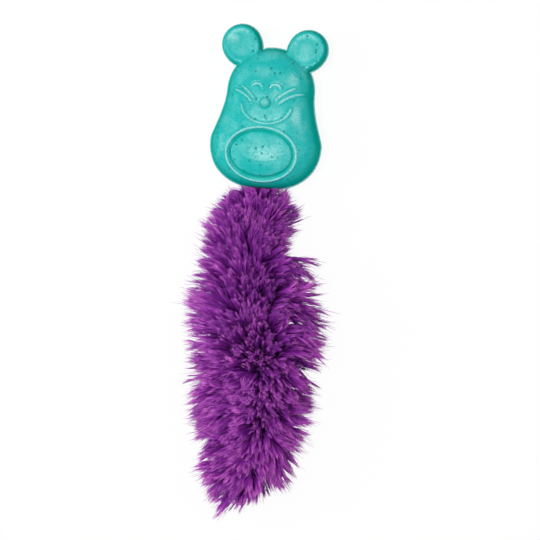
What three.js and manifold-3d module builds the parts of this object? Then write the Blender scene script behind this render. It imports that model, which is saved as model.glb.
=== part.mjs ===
// A catnip mouse: a moulded rubber mouse lying on its back, face up, with a long fur tail. Millimetres.
// The origin is the middle of the flat back. +Y points to the ears, the tail runs to -Y, and +Z is up.
import * as THREE from 'three';
import { mergeVertices } from 'three/addons/utils/BufferGeometryUtils.js';
import Module from 'manifold-3d';

const wasm = await Module();
wasm.setup();

// The rubber body: a pear outline in two halves that meet at the parting line
const bodyLength = 66.4;
const bodyWidth = 52.4;
const headRadius = 20.5;
const bellyRise = 21.7;
const backDepth = 9;
const faceDepth = 11;
const flangeReach = 0.5;
const flangeDepth = 0.4;

// The ears, as round discs with a rolled rim and a dished face
const earRadius = 9.4;
const earSpread = 32.1;
const earLift = 0.6;
const earFaceDepth = 4.9;
const earBackDepth = 5;
const earRimWidth = 2.3;
const earDish = 0.5;

// The raised lines of the face and the belly's oval panel
const ribRadius = 0.55;
const eyeSpread = 8.6;
const eyeHalfWidth = 2.45;
const eyeRise = 2.1;
const eyeLine = 14.3;
const smileHalfWidth = 11.9;
const smileDepth = 8.75;
const smileLine = 5.3;
const noseLine = 6.3;
const noseRadius = 2;
const noseHeight = 1.1;
const noseGroove = 0.7;
const noseGrooveDepth = 0.4;
const panelWidth = 33.2;
const panelLength = 24.8;
const panelLine = -17.5;
const lipRadius = 0.8;
const creaseInset = 1.7;
const creaseRadius = 0.75;

// Locating pegs of the back half, which sit in sockets of the face half
const pegRadius = 2;
const pegHeight = 3;

// The tail's anchor: a cross pin in the parting line with a webbing loop round it
const pinRadius = 1.75;
const pinLength = 20;
const pinInset = 7.5;
const tapeWidth = 10;
const tapeThickness = 1;
const loopReach = 6.5;
const loopTail = 17.5;
const bartackStart = 11;
const bartackLength = 2.5;
const bartackThickness = 0.5;

// The fur tail, a sewn tube of long pile that lies on the same surface as the back
const tailLength = 155.5;
const tailWidth = 57;
const tailHeight = 28;
const pocketDepth = 11;
const seamThreadRadius = 0.35;
const seamGrooveWidth = 1.8;
const seamGrooveDepth = 1.9;
const seamMargin = 3;

// Where the tail bends, measured along it from its start, and how far it bends there
const swayPlace = 9;
const curlPlace = 52;
const hookPlace = 118;
const neckRise = THREE.MathUtils.degToRad(8);
const neckDrop = THREE.MathUtils.degToRad(20);
const swayHorn = THREE.MathUtils.degToRad(60);
const curlHorn = THREE.MathUtils.degToRad(50);

// Clearances, and the overrun of every cut
const clearance = 0.3;
const neckGap = 0.6;
const overrun = 2;
const weld = 0.0001;

// Facet counts
const headSteps = 11;
const flankSteps = 7;
const hipSteps = 11;
const domeSteps = 8;
const roundSides = 32;
const pinSides = 20;
const ribSides = 6;
const eyeSteps = 7;
const whiskerSteps = 5;
const smileSteps = 14;
const panelSteps = 44;
const knuckleSides = 56;
const tailSteps = 26;
const tailSides = 28;

// Shares: how full the body's outline and dome are, and where the back turns flat
const hipFullnessShare = 2.3;
const domeFullnessShare = 4;
const backFlatShare = 0.74;
const flankHandleShares = [0.41, 0.11];
const domeCentreShare = -0.09;

// The tail's stations: place along it, then side shift and half width as shares of its width, and height
const tailStationShares = [
  [0, 0, 0.21, 0.62],
  [0.055, -0.025, 0.315, 0.7],
  [0.13, -0.07, 0.36, 0.8],
  [0.22, -0.005, 0.42, 0.93],
  [0.33, 0.035, 0.48, 1],
  [0.45, 0.095, 0.5, 1],
  [0.58, 0.09, 0.5, 0.99],
  [0.68, 0.115, 0.465, 0.96],
  [0.77, 0.115, 0.42, 0.89],
  [0.86, 0.11, 0.365, 0.79],
  [0.93, 0.06, 0.27, 0.61],
  [0.975, 0.01, 0.16, 0.41],
  [1, -0.03, 0.05, 0.22],
];
const tailMiddleShare = 0.42;
const tailSquareShare = 2.4;
const tailFlatShare = 1.16;

// Whisker places, as [side, height] shares of the head's radius, from the outer end to the inner one
const whiskerShares = [
  [[0.615, 0.673], [0.424, 0.551], [0.259, 0.39]],
  [[0.8, 0.58], [0.532, 0.478], [0.322, 0.312]],
];

// Peg places, as shares of half the body's width and half its length
const pegShares = [[0, 0.62], [-0.5, -0.2], [0.5, -0.2]];

const headCentre = bodyLength / 2 - headRadius;
const bellyLine = bellyRise - bodyLength / 2;
const tailStart = -bodyLength / 2;
const pinPlace = tailStart + pinInset;
const domeCentre = new THREE.Vector2(0, bodyLength * domeCentreShare);
const bodyTop = backDepth + faceDepth;
const quarterTurn = Math.PI / 2;

const tealRubber = new THREE.MeshStandardMaterial({ color: 0x42bbb7, roughness: 0.35, metalness: 0 });
const purpleFur = new THREE.MeshStandardMaterial({ color: 0x702980, roughness: 0.9, metalness: 0 });
const purpleWebbing = new THREE.MeshStandardMaterial({ color: 0x4a2358, roughness: 0.8, metalness: 0 });
const purpleThread = new THREE.MeshStandardMaterial({ color: 0x5b2a6b, roughness: 0.7, metalness: 0 });
const whitePlastic = new THREE.MeshStandardMaterial({ color: 0xe8e8e4, roughness: 0.45, metalness: 0 });

// Turns a geometry into a solid that can be joined and cut
function solid(geometry) {
  const plain = geometry.clone();
  plain.deleteAttribute('normal');
  plain.deleteAttribute('uv');
  const merged = mergeVertices(plain, weld);
  const mesh = new wasm.Mesh({
    numProp: 3,
    vertProperties: merged.attributes.position.array,
    triVerts: Uint32Array.from(merged.index.array),
  });
  return new wasm.Manifold(mesh);
}

// Turns a solid into a named mesh
function piece(name, body, material) {
  const { vertProperties, triVerts } = body.getMesh();
  const geometry = new THREE.BufferGeometry();
  geometry.setAttribute('position', new THREE.BufferAttribute(vertProperties, 3));
  geometry.setIndex(new THREE.BufferAttribute(triVerts, 1));
  geometry.computeVertexNormals();
  const mesh = new THREE.Mesh(geometry, material);
  mesh.name = name;
  return mesh;
}

// A closed solid from rings of points that all have the same count, with a middle point at each end
function loft(rings, firstMiddle, lastMiddle) {
  const count = rings[0].length;
  const points = [...rings.flat(), firstMiddle, lastMiddle];
  const first = points.length - 2;
  const last = points.length - 1;
  const faces = [];
  for (let side = 0; side < count; side += 1) {
    const next = (side + 1) % count;
    faces.push(first, next, side);
    for (let ring = 0; ring < rings.length - 1; ring += 1) {
      const low = ring * count;
      const high = low + count;
      faces.push(low + side, low + next, high + next, low + side, high + next, high + side);
    }
    const top = (rings.length - 1) * count;
    faces.push(last, top + side, top + next);
  }
  const geometry = new THREE.BufferGeometry().setFromPoints(points);
  geometry.setIndex(faces);
  return solid(geometry);
}

// An outline drawn in towards a centre, ring by ring: each ring is [share of the outline, height]
function crowned(outline, centre, rings, peak = rings[rings.length - 1][1]) {
  const loops = rings.map(([share, height]) => outline.map((point) => new THREE.Vector3(
    centre.x + (point.x - centre.x) * share,
    centre.y + (point.y - centre.y) * share,
    height,
  )));
  const low = new THREE.Vector3(centre.x, centre.y, rings[0][1]);
  const high = new THREE.Vector3(centre.x, centre.y, peak);
  return loft(loops, low, high);
}

// A circle of points, anticlockwise
function circle(centre, radius, sides) {
  return Array.from({ length: sides }, (_, side) => {
    const angle = side / sides * 2 * Math.PI;
    return new THREE.Vector2(centre.x + radius * Math.cos(angle), centre.y + radius * Math.sin(angle));
  });
}

// An upright round post or cutter between two heights
function post(centre, radius, low, high, sides) {
  return crowned(circle(centre, radius, sides), centre, [[1, low], [1, high]]);
}

// A block between two corners
function block(from, to) {
  const size = to.clone().sub(from);
  const geometry = new THREE.BoxGeometry(size.x, size.y, size.z);
  geometry.translate((from.x + to.x) / 2, (from.y + to.y) / 2, (from.z + to.z) / 2);
  return solid(geometry);
}

// A round bar along X
function crossBar(y, z, radius, length, sides) {
  const geometry = new THREE.CylinderGeometry(radius, radius, length, sides);
  geometry.rotateZ(quarterTurn);
  geometry.translate(0, y, z);
  return solid(geometry);
}

// A shape drawn in Y and Z and extruded along X, the same distance to both sides
function acrossX(shape, width, y, z) {
  const geometry = new THREE.ExtrudeGeometry(shape, { depth: width, bevelEnabled: false, curveSegments: pinSides });
  geometry.translate(0, 0, -width / 2);
  const turn = new THREE.Matrix4().makeBasis(
    new THREE.Vector3(0, 1, 0),
    new THREE.Vector3(0, 0, 1),
    new THREE.Vector3(1, 0, 0),
  );
  geometry.applyMatrix4(turn);
  geometry.translate(0, y, z);
  return solid(geometry);
}

// The right side of the pear outline from the crown of the head down to the tail
function rightFlank() {
  const points = [];
  for (let step = 0; step < headSteps; step += 1) {
    const angle = step / headSteps * quarterTurn;
    points.push(new THREE.Vector2(headRadius * Math.sin(angle), headCentre + headRadius * Math.cos(angle)));
  }
  const hip = bodyWidth / 2;
  const drop = headCentre - bellyLine;
  const flank = new THREE.CubicBezierCurve(
    new THREE.Vector2(headRadius, headCentre),
    new THREE.Vector2(headRadius, headCentre - drop * flankHandleShares[0]),
    new THREE.Vector2(hip, bellyLine + drop * flankHandleShares[1]),
    new THREE.Vector2(hip, bellyLine),
  );
  points.push(...flank.getPoints(flankSteps).slice(0, flankSteps));
  for (let step = 0; step <= hipSteps; step += 1) {
    const angle = step / hipSteps * quarterTurn;
    const across = Math.max(Math.cos(angle), 0) ** (2 / hipFullnessShare);
    const down = Math.sin(angle) ** (2 / hipFullnessShare);
    points.push(new THREE.Vector2(hip * across, bellyLine - bellyRise * down));
  }
  return points;
}

// The whole pear outline, anticlockwise from the crown of the head
function pearOutline() {
  const right = rightFlank();
  const left = right.slice(1, -1).map((point) => new THREE.Vector2(-point.x, point.y));
  return [...left, ...right.reverse()];
}

// An outline moved outwards by the same distance all round
function grown(outline, distance) {
  return outline.map((point, index) => {
    const before = outline[(index + outline.length - 1) % outline.length];
    const after = outline[(index + 1) % outline.length];
    const along = after.clone().sub(before).normalize();
    return new THREE.Vector2(point.x + along.y * distance, point.y - along.x * distance);
  });
}

const pear = pearOutline();

// How far a place lies from the dome's centre to the outline, from 0 to 1
function reachShare(x, y) {
  const place = new THREE.Vector2(x, y).sub(domeCentre);
  for (let index = 0; index < pear.length; index += 1) {
    const from = pear[index].clone().sub(domeCentre);
    const to = pear[(index + 1) % pear.length].clone().sub(domeCentre);
    const turn = from.cross(to);
    const first = place.cross(to) / turn;
    const second = from.cross(place) / turn;
    if (first >= 0 && second >= 0) return first + second;
  }
  return 0;
}

// The height of the face's dome over a place
function faceHeight(x, y) {
  const share = Math.min(reachShare(x, y), 1);
  return backDepth + faceDepth * Math.sqrt(1 - share ** domeFullnessShare);
}

// A point on the dome's surface
function onFace(x, y) {
  return new THREE.Vector3(x, y, faceHeight(x, y));
}

// One ring of a tube round a place, square to its direction
function tubeRing(place, along, radius, sides) {
  const side = new THREE.Vector3().crossVectors(along, new THREE.Vector3(0, 0, 1)).normalize();
  const rise = new THREE.Vector3().crossVectors(side, along).normalize();
  return Array.from({ length: sides }, (_, index) => {
    const angle = index / sides * 2 * Math.PI;
    return place.clone()
      .addScaledVector(side, radius * Math.cos(angle))
      .addScaledVector(rise, radius * Math.sin(angle));
  });
}

// A raised line with rounded ends, laid along a curve on the dome
function rib(curve, radius, count) {
  const steps = curve.getSpacedPoints(count).map((point) => onFace(point.x, point.y));
  const path = new THREE.CatmullRomCurve3(steps);
  const rings = [];
  for (let step = 0; step <= count; step += 1) {
    const share = step / count;
    const end = step === 0 || step === count;
    const width = end ? radius * Math.SQRT1_2 : radius;
    rings.push(tubeRing(path.getPoint(share), path.getTangent(share), width, ribSides).reverse());
  }
  const start = steps[0].clone().addScaledVector(path.getTangent(0), -radius / 2);
  const finish = steps[count].clone().addScaledVector(path.getTangent(1), radius / 2);
  return loft(rings, start, finish);
}

// A closed oval tube that follows the dome
function ovalTube(halfWidth, halfLength, radius) {
  const places = Array.from({ length: panelSteps }, (_, step) => {
    const angle = step / panelSteps * 2 * Math.PI;
    return onFace(halfWidth * Math.cos(angle), panelLine + halfLength * Math.sin(angle));
  });
  const rings = places.map((place, step) => {
    const before = places[(step + panelSteps - 1) % panelSteps];
    const after = places[(step + 1) % panelSteps];
    return tubeRing(place, after.clone().sub(before).normalize(), radius, ribSides);
  });
  const faces = [];
  for (let step = 0; step < panelSteps; step += 1) {
    const low = step * ribSides;
    const high = (step + 1) % panelSteps * ribSides;
    for (let side = 0; side < ribSides; side += 1) {
      const next = (side + 1) % ribSides;
      faces.push(low + side, high + next, low + next, low + side, high + side, high + next);
    }
  }
  const geometry = new THREE.BufferGeometry().setFromPoints(rings.flat());
  geometry.setIndex(faces);
  return solid(geometry);
}

const earPlaces = [-1, 1].map((side) => new THREE.Vector2(side * earSpread / 2, bodyLength / 2 + earLift));

// A quarter round from a wall in to a flat, as [share of the radius, height] rings
function quarterRound(inset, rise, base) {
  return Array.from({ length: domeSteps / 2 + 1 }, (_, step) => {
    const angle = step / domeSteps * 2 * quarterTurn;
    return [1 - inset * (1 - Math.cos(angle)), base + rise * Math.sin(angle)];
  });
}

// The face side of an ear: a rolled rim round a dished middle
function earFace(place) {
  const rimShare = earRimWidth / earRadius;
  const rings = [
    ...quarterRound(rimShare, earFaceDepth, backDepth),
    [1 - rimShare - earDish / earRadius, backDepth + earFaceDepth - earDish],
  ];
  return crowned(circle(place, earRadius, roundSides), place, rings);
}

// The back of an ear, with a rounded edge and a flat middle
function earBack(place) {
  const rings = quarterRound(earRimWidth / earRadius, -earBackDepth, backDepth).reverse();
  return crowned(circle(place, earRadius, roundSides), place, rings);
}

// The thin flange that the parting line leaves all round one half
function flange(low, high) {
  const centre = domeCentre;
  let rim = crowned(grown(pear, flangeReach), centre, [[1, low], [1, high]]);
  earPlaces.forEach((place) => {
    rim = rim.add(post(place, earRadius + flangeReach, low, high, roundSides));
  });
  return rim;
}

// The slot that the loop swings in, from behind the pin out through the bottom edge, lower towards the face
function slotCut() {
  const below = pinInset * Math.tan(neckDrop) + tapeThickness + clearance;
  const above = pinInset * Math.tan(neckRise) + tapeThickness + clearance;
  const bore = pinRadius + tapeThickness + 2 * clearance;
  const mouth = -pinInset - overrun;
  const shape = new THREE.Shape();
  shape.moveTo(mouth, -below);
  shape.lineTo(0, -below);
  shape.absarc(0, 0, below, -quarterTurn, 0, false);
  shape.absarc(0, 0, bore, 0, quarterTurn, false);
  shape.lineTo(-pinInset, above);
  shape.lineTo(mouth, above);
  return acrossX(shape, tapeWidth + 2 * clearance, pinPlace, backDepth);
}

// The pin's seat and the loop's slot, cut from both halves
function anchorCut() {
  const seat = crossBar(pinPlace, backDepth, pinRadius + clearance, pinLength + 2 * clearance, pinSides);
  return seat.add(slotCut());
}

const pegPlaces = pegShares.map(([across, along]) => new THREE.Vector2(
  across * bodyWidth / 2,
  along * bodyLength / 2,
));

// The eyes, closed in a smile, as two raised arcs
function eyes() {
  return [-1, 1].map((side) => {
    const arc = new THREE.EllipseCurve(side * eyeSpread / 2, eyeLine, eyeHalfWidth, eyeRise, 0, Math.PI);
    return rib(arc, ribRadius, eyeSteps);
  });
}

// Two whiskers on each cheek
function whiskers() {
  return [-1, 1].flatMap((side) => whiskerShares.map((line) => {
    const points = line.map(([across, up]) => new THREE.Vector2(side * across * headRadius, up * headRadius));
    return rib(new THREE.SplineCurve(points), ribRadius, whiskerSteps);
  }));
}

// The wide smile, half an oval
function smile() {
  const mouth = new THREE.EllipseCurve(0, smileLine, smileHalfWidth, smileDepth, Math.PI, 2 * Math.PI);
  return rib(mouth, ribRadius, smileSteps);
}

// The round nose, standing in a shallow ring
function addNose(body) {
  const place = new THREE.Vector2(0, noseLine);
  const level = faceHeight(place.x, place.y);
  const outer = noseRadius + noseGroove;
  const grooveShare = noseRadius / outer;
  const grooveRings = [[grooveShare, level - noseGrooveDepth], [1, level + noseGrooveDepth]];
  const ring = crowned(circle(place, outer, pinSides), place, grooveRings);
  const buttonRings = [[1, level - noseHeight], ...quarterRound(1, noseHeight, level).slice(0, -1)];
  const button = crowned(circle(place, noseRadius, pinSides), place, buttonRings, level + noseHeight);
  return body.subtract(ring).add(button);
}

// The face half: a dome over the pear, the ears, and the moulded face and belly panel
function frontShell() {
  const rings = Array.from({ length: domeSteps }, (_, step) => {
    const angle = step / domeSteps * quarterTurn;
    return [Math.cos(angle) ** (2 / domeFullnessShare), backDepth + faceDepth * Math.sin(angle)];
  });
  let body = crowned(pear, domeCentre, rings, bodyTop);
  earPlaces.forEach((place) => { body = body.add(earFace(place)); });
  body = body.add(flange(backDepth, backDepth + flangeDepth));
  body = body.subtract(ovalTube(panelWidth / 2 - creaseInset, panelLength / 2 - creaseInset, creaseRadius));
  body = body.add(ovalTube(panelWidth / 2, panelLength / 2, lipRadius));
  [...eyes(), ...whiskers(), smile()].forEach((line) => { body = body.add(line); });
  body = addNose(body).subtract(anchorCut());
  pegPlaces.forEach((place) => {
    const top = backDepth + pegHeight + clearance;
    body = body.subtract(post(place, pegRadius + clearance, backDepth - overrun, top, pinSides));
  });
  return body;
}

// The back half: rounded edges down to the flat that the mouse lies on
function backShell() {
  const rings = Array.from({ length: domeSteps + 1 }, (_, step) => {
    const angle = (1 - step / domeSteps) * quarterTurn;
    const share = backFlatShare + (1 - backFlatShare) * Math.cos(angle);
    return [share, backDepth - backDepth * Math.sin(angle)];
  });
  let body = crowned(pear, domeCentre, rings);
  earPlaces.forEach((place) => { body = body.add(earBack(place)); });
  body = body.add(flange(backDepth - flangeDepth, backDepth)).subtract(anchorCut());
  pegPlaces.forEach((place) => {
    body = body.add(post(place, pegRadius, backDepth - pegHeight, backDepth + pegHeight, pinSides));
  });
  return body;
}

// The webbing loop: round the pin, then both plies flat together into the tail
function tailLoop() {
  const inner = pinRadius + clearance;
  const outer = inner + tapeThickness;
  const shape = new THREE.Shape();
  shape.moveTo(-loopTail, -tapeThickness);
  shape.lineTo(-loopReach, -tapeThickness);
  shape.lineTo(0, -outer);
  shape.absarc(0, 0, outer, -quarterTurn, quarterTurn, false);
  shape.lineTo(-loopReach, tapeThickness);
  shape.lineTo(-loopTail, tapeThickness);
  const eye = new THREE.Path();
  eye.moveTo(0, -inner);
  eye.absarc(0, 0, inner, -quarterTurn, quarterTurn, false);
  eye.lineTo(tapeThickness - loopReach, 0);
  shape.holes.push(eye);
  return acrossX(shape, tapeWidth, pinPlace, backDepth);
}

// The bartack: a band of close stitches round both plies of the webbing
function bartack() {
  const inWidth = tapeWidth / 2 + clearance;
  const inHeight = tapeThickness + clearance;
  const outWidth = inWidth + bartackThickness;
  const outHeight = inHeight + bartackThickness;
  const far = pinPlace - bartackStart - bartackLength;
  const near = pinPlace - bartackStart;
  const outside = block(
    new THREE.Vector3(-outWidth, far, backDepth - outHeight),
    new THREE.Vector3(outWidth, near, backDepth + outHeight),
  );
  return outside.subtract(block(
    new THREE.Vector3(-inWidth, far - overrun, backDepth - inHeight),
    new THREE.Vector3(inWidth, near + overrun, backDepth + inHeight),
  ));
}

const stationPlaces = tailStationShares.map((station) => station[0]);
const stationSizes = tailStationShares.flatMap((station) => station.slice(1));
const tailShape = new THREE.CubicInterpolant(stationPlaces, stationSizes, 3);

// The tail's side shift, half width and height at a place along it
function tailAt(place) {
  const [shift, half, height] = tailShape.evaluate(THREE.MathUtils.clamp(place / tailLength, 0, 1));
  return { shift: shift * tailWidth, half: half * tailWidth, height: height * tailHeight };
}

// A sideways bend is as round as the tail is wide there, and the up and down bend as the tail is high
const swayRadius = tailAt(swayPlace).half;
const hookRadius = tailAt(hookPlace).half;
const curlRadius = tailHeight / 2;

// One ring round the tail, flat where it lies on the surface below
function tailRing(place) {
  const { shift, half, height } = tailAt(place);
  const middle = height * tailMiddleShare;
  return Array.from({ length: tailSides }, (_, side) => {
    const angle = side / tailSides * 2 * Math.PI;
    const across = Math.sign(Math.cos(angle)) * Math.abs(Math.cos(angle)) ** (2 / tailSquareShare);
    const up = Math.sign(Math.sin(angle)) * Math.abs(Math.sin(angle)) ** (2 / tailSquareShare);
    const rise = up > 0 ? height - middle : middle * tailFlatShare;
    return new THREE.Vector3(shift - half * across, tailStart - place, Math.max(middle + rise * up, 0));
  });
}

// The whole tail's outer form, from its start at the body to its tip
function wholeTail() {
  const rings = [];
  for (let step = 0; step <= tailSteps; step += 1) {
    const place = neckGap + step / tailSteps * (tailLength - neckGap);
    rings.push(tailRing(place));
  }
  const first = tailAt(neckGap);
  const last = tailAt(tailLength);
  return loft(
    rings.map((ring) => ring.reverse()),
    new THREE.Vector3(first.shift, tailStart - neckGap, first.height * tailMiddleShare),
    new THREE.Vector3(last.shift, tailStart - tailLength, last.height * tailMiddleShare),
  );
}

// Everything of the tail between two places along it
function tailSpan(from, to) {
  return block(
    new THREE.Vector3(-tailWidth, tailStart - to, -overrun),
    new THREE.Vector3(tailWidth, tailStart - from, tailHeight + overrun),
  );
}

// A round cutter about the upright axis of a sideways bend
function uprightRound(place, radius) {
  const centre = new THREE.Vector2(tailAt(place).shift, tailStart - place);
  return post(centre, radius, -overrun, tailHeight + overrun, knuckleSides);
}

// A round cutter about the cross axis of the up and down bend
function crossRound(place, radius) {
  return crossBar(tailStart - place, curlRadius, radius, 2 * tailWidth, knuckleSides);
}

// The parting in the pile underneath, where the tube's seam runs
function seamParting(from, to, halfWidth, depth) {
  const places = [];
  const steps = Math.ceil((to - from) / seamMargin);
  for (let step = 0; step <= steps; step += 1) places.push(from + step / steps * (to - from));
  const edge = (place, side) => new THREE.Vector2(tailAt(place).shift + side * halfWidth, tailStart - place);
  const right = places.map((place) => edge(place, 1));
  const left = places.map((place) => edge(place, -1)).reverse();
  const geometry = new THREE.ExtrudeGeometry(
    new THREE.Shape([...right, ...left]),
    { depth: depth + overrun, bevelEnabled: false },
  );
  geometry.translate(0, 0, -overrun);
  return solid(geometry);
}

// The seam's thread in its parting
function seamThread(from, to) {
  const rings = [];
  const steps = Math.ceil((to - from) / seamMargin);
  const level = seamGrooveDepth / 2;
  const at = (place) => new THREE.Vector3(tailAt(place).shift, tailStart - place, level);
  for (let step = 0; step <= steps; step += 1) {
    const place = from + step / steps * (to - from);
    const along = at(place + seamMargin).sub(at(place - seamMargin)).normalize();
    rings.push(tubeRing(at(place), along, seamThreadRadius, ribSides).reverse());
  }
  return loft(rings, at(from), at(to));
}

// The tail's four stretches, each with a round end that turns in the next one's hollow end
function tailPieces() {
  const tail = wholeTail();
  const swayEdge = swayPlace + swayRadius * Math.cos(swayHorn);
  const curlEdge = curlPlace + curlRadius * Math.cos(curlHorn);
  const hookEdge = hookPlace - hookRadius * Math.cos(swayHorn);
  const neckEnd = tailSpan(-overrun, swayPlace).add(uprightRound(swayPlace, swayRadius));
  const upperEnd = tailSpan(-overrun, curlPlace).add(crossRound(curlPlace, curlRadius));
  const tipEnd = tailSpan(hookPlace, tailLength + overrun).add(uprightRound(hookPlace, hookRadius));
  const upperHollow = tailSpan(-overrun, swayEdge).add(uprightRound(swayPlace, swayRadius + clearance));
  const middleHollow = tailSpan(-overrun, curlEdge).add(crossRound(curlPlace, curlRadius + clearance));
  const tipHollow = tailSpan(hookEdge, tailLength + overrun)
    .add(uprightRound(hookPlace, hookRadius + clearance));
  const pocketWidth = tapeWidth / 2 + bartackThickness + 2 * clearance;
  const pocketHeight = tapeThickness + bartackThickness + 2 * clearance;
  const pocket = block(
    new THREE.Vector3(-pocketWidth, tailStart - neckGap - pocketDepth, backDepth - pocketHeight),
    new THREE.Vector3(pocketWidth, tailStart + overrun, backDepth + pocketHeight),
  );
  return {
    neck: tail.intersect(neckEnd).subtract(pocket),
    upper: tail.intersect(upperEnd).subtract(upperHollow),
    middle: tail.subtract(middleHollow).subtract(tipHollow),
    tip: tail.intersect(tipEnd),
  };
}

// Where each stretch's seam starts and ends, along the tail
const seamSpans = {
  neck: [neckGap + seamMargin, swayPlace + swayRadius - seamMargin],
  upper: [swayPlace + swayRadius + seamMargin, curlPlace - seamMargin],
  middle: [curlPlace + curlRadius + seamMargin, hookPlace - hookRadius - seamMargin],
  tip: [hookPlace - hookRadius + seamMargin, tailLength - 2 * seamMargin],
};

const catnipMouse = new THREE.Group();
catnipMouse.name = 'catnip_mouse';
catnipMouse.add(piece('front_shell', frontShell(), tealRubber));
catnipMouse.add(piece('back_shell', backShell(), tealRubber));
catnipMouse.add(piece('anchor_pin', crossBar(pinPlace, backDepth, pinRadius, pinLength, pinSides), whitePlastic));
catnipMouse.add(piece('tail_loop', tailLoop(), purpleWebbing));
catnipMouse.add(piece('loop_bartack', bartack(), purpleThread));

Object.entries(tailPieces()).forEach(([name, stretch]) => {
  const [from, to] = seamSpans[name];
  const parting = seamParting(from - clearance, to + clearance, seamGrooveWidth / 2, seamGrooveDepth);
  catnipMouse.add(piece(`fur_${name}`, stretch.subtract(parting), purpleFur));
  catnipMouse.add(piece(`seam_${name}`, seamThread(from, to), purpleThread));
});

export default catnipMouse;
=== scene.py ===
import math

import bmesh
import bpy
import numpy as np
from mathutils import Matrix, Vector


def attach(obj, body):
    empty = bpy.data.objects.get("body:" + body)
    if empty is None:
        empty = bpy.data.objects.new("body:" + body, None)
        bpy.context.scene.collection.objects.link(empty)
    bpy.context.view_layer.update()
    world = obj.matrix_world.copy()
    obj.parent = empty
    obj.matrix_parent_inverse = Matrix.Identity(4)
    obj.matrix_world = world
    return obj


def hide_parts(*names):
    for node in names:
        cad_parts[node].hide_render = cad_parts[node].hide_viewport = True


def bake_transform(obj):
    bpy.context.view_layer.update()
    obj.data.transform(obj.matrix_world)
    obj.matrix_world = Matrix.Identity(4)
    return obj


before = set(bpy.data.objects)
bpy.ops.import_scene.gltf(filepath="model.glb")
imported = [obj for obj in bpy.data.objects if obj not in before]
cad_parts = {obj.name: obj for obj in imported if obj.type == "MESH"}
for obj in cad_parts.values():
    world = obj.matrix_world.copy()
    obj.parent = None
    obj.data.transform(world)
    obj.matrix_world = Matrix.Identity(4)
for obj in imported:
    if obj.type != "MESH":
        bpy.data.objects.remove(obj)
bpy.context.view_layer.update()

bpy.ops.object.select_all(action="DESELECT")

# The camera looks down at the toy from a little to its right, through a long lens.
# The toy leans a few degrees clockwise in the picture.
MM = 0.001
AIM = Vector((8.06, -70.88, 9)) * MM
CAMERA_TILT = math.radians(10)
CAMERA_PITCH = math.radians(-1)
CAMERA_ROLL = math.radians(5.5)
CAMERA_DISTANCE = 1.1
CAMERA_FAR = 10
PICTURE_WIDTH = 253.8 * MM

towards_camera = Vector((math.sin(CAMERA_TILT), math.sin(CAMERA_PITCH), math.cos(CAMERA_TILT)))
towards_camera.normalize()
picture_right = Vector((math.cos(CAMERA_ROLL), math.sin(CAMERA_ROLL), 0))
picture_right = (picture_right - picture_right.project(towards_camera)).normalized()
picture_up = towards_camera.cross(picture_right)
bpy.ops.object.camera_add()
camera = bpy.context.object
camera.name = "camera"
camera.data.lens = camera.data.sensor_width * CAMERA_DISTANCE / PICTURE_WIDTH
turned = Matrix((picture_right, picture_up, towards_camera)).transposed()
camera.matrix_world = Matrix.Translation(AIM + towards_camera * CAMERA_DISTANCE) @ turned.to_4x4()
camera.data.clip_end = CAMERA_FAR
bpy.context.scene.camera = camera

# The studio is a plain white sweep with three soft lamps. The key lamp stands close to the camera,
# a weaker one fills from the far left, and the weakest glints on the rubber's right shoulders.
FLOOR_SIZE = 4
FLOOR_LEVEL = -0.1 * MM
FLOOR_WHITENESS = 0.93
FLOOR_PAINT = (0.9, 0.9, 0.9, 1)
WHITE = (1, 1, 1, 1)
LAMPS = {
    "key_lamp": ((-0.15, -0.02, 1.16), 0.36, 8.8),
    "fill_lamp": ((-1.0, 0.05, 0.6), 0.4, 3.8),
    "glint_lamp": ((0.62, 0.36, 0.86), 0.34, 1.7),
}
SURROUND_STRENGTH = 0.26


class Tone:
    """A value inside a material or world. Arithmetic on it adds the Math nodes that work it out."""

    def __init__(self, tree, socket=None):
        self.tree = tree
        self.socket = socket

    def node(self, kind, settings=None, sockets=None, output=0):
        made = self.tree.nodes.new(kind)
        for key, value in (settings or {}).items():
            if key == "stops":
                self._set_stops(made.color_ramp, value)
            else:
                setattr(made, key, value)
        for key, value in (sockets or {}).items():
            if isinstance(value, Tone):
                self.tree.links.new(value.socket, made.inputs[key])
            else:
                made.inputs[key].default_value = value
        return Tone(self.tree, made.outputs[output]) if made.outputs else None

    @staticmethod
    def _set_stops(ramp, stops):
        while len(ramp.elements) < len(stops):
            ramp.elements.new(1)
        for element, (place, colour) in zip(ramp.elements, stops):
            element.position = place
            element.color = colour

    def _math(self, operation, *values):
        return self.node("ShaderNodeMath", {"operation": operation}, dict(enumerate(values)))

    def __add__(self, other):
        return self._math("ADD", self, other)

    def __radd__(self, other):
        return self._math("ADD", other, self)

    def __sub__(self, other):
        return self._math("SUBTRACT", self, other)

    def __rsub__(self, other):
        return self._math("SUBTRACT", other, self)

    def __mul__(self, other):
        return self._math("MULTIPLY", self, other)

    def __rmul__(self, other):
        return self._math("MULTIPLY", other, self)


floor_paint = bpy.data.materials.new("white_sweep")
floor_paint.use_nodes = True
floor_paint.node_tree.nodes.clear()
sweep = Tone(floor_paint.node_tree)


def seen_as_white(tone):
    """Where a ray comes straight from the camera, off something glossy or through something clear."""
    straight = tone.node("ShaderNodeLightPath", output="Is Camera Ray")
    mirrored = tone.node("ShaderNodeLightPath", output="Is Glossy Ray")
    through = tone.node("ShaderNodeLightPath", output="Is Transmission Ray")
    return tone.node("ShaderNodeClamp", None, {"Value": straight + mirrored + through})


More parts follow.
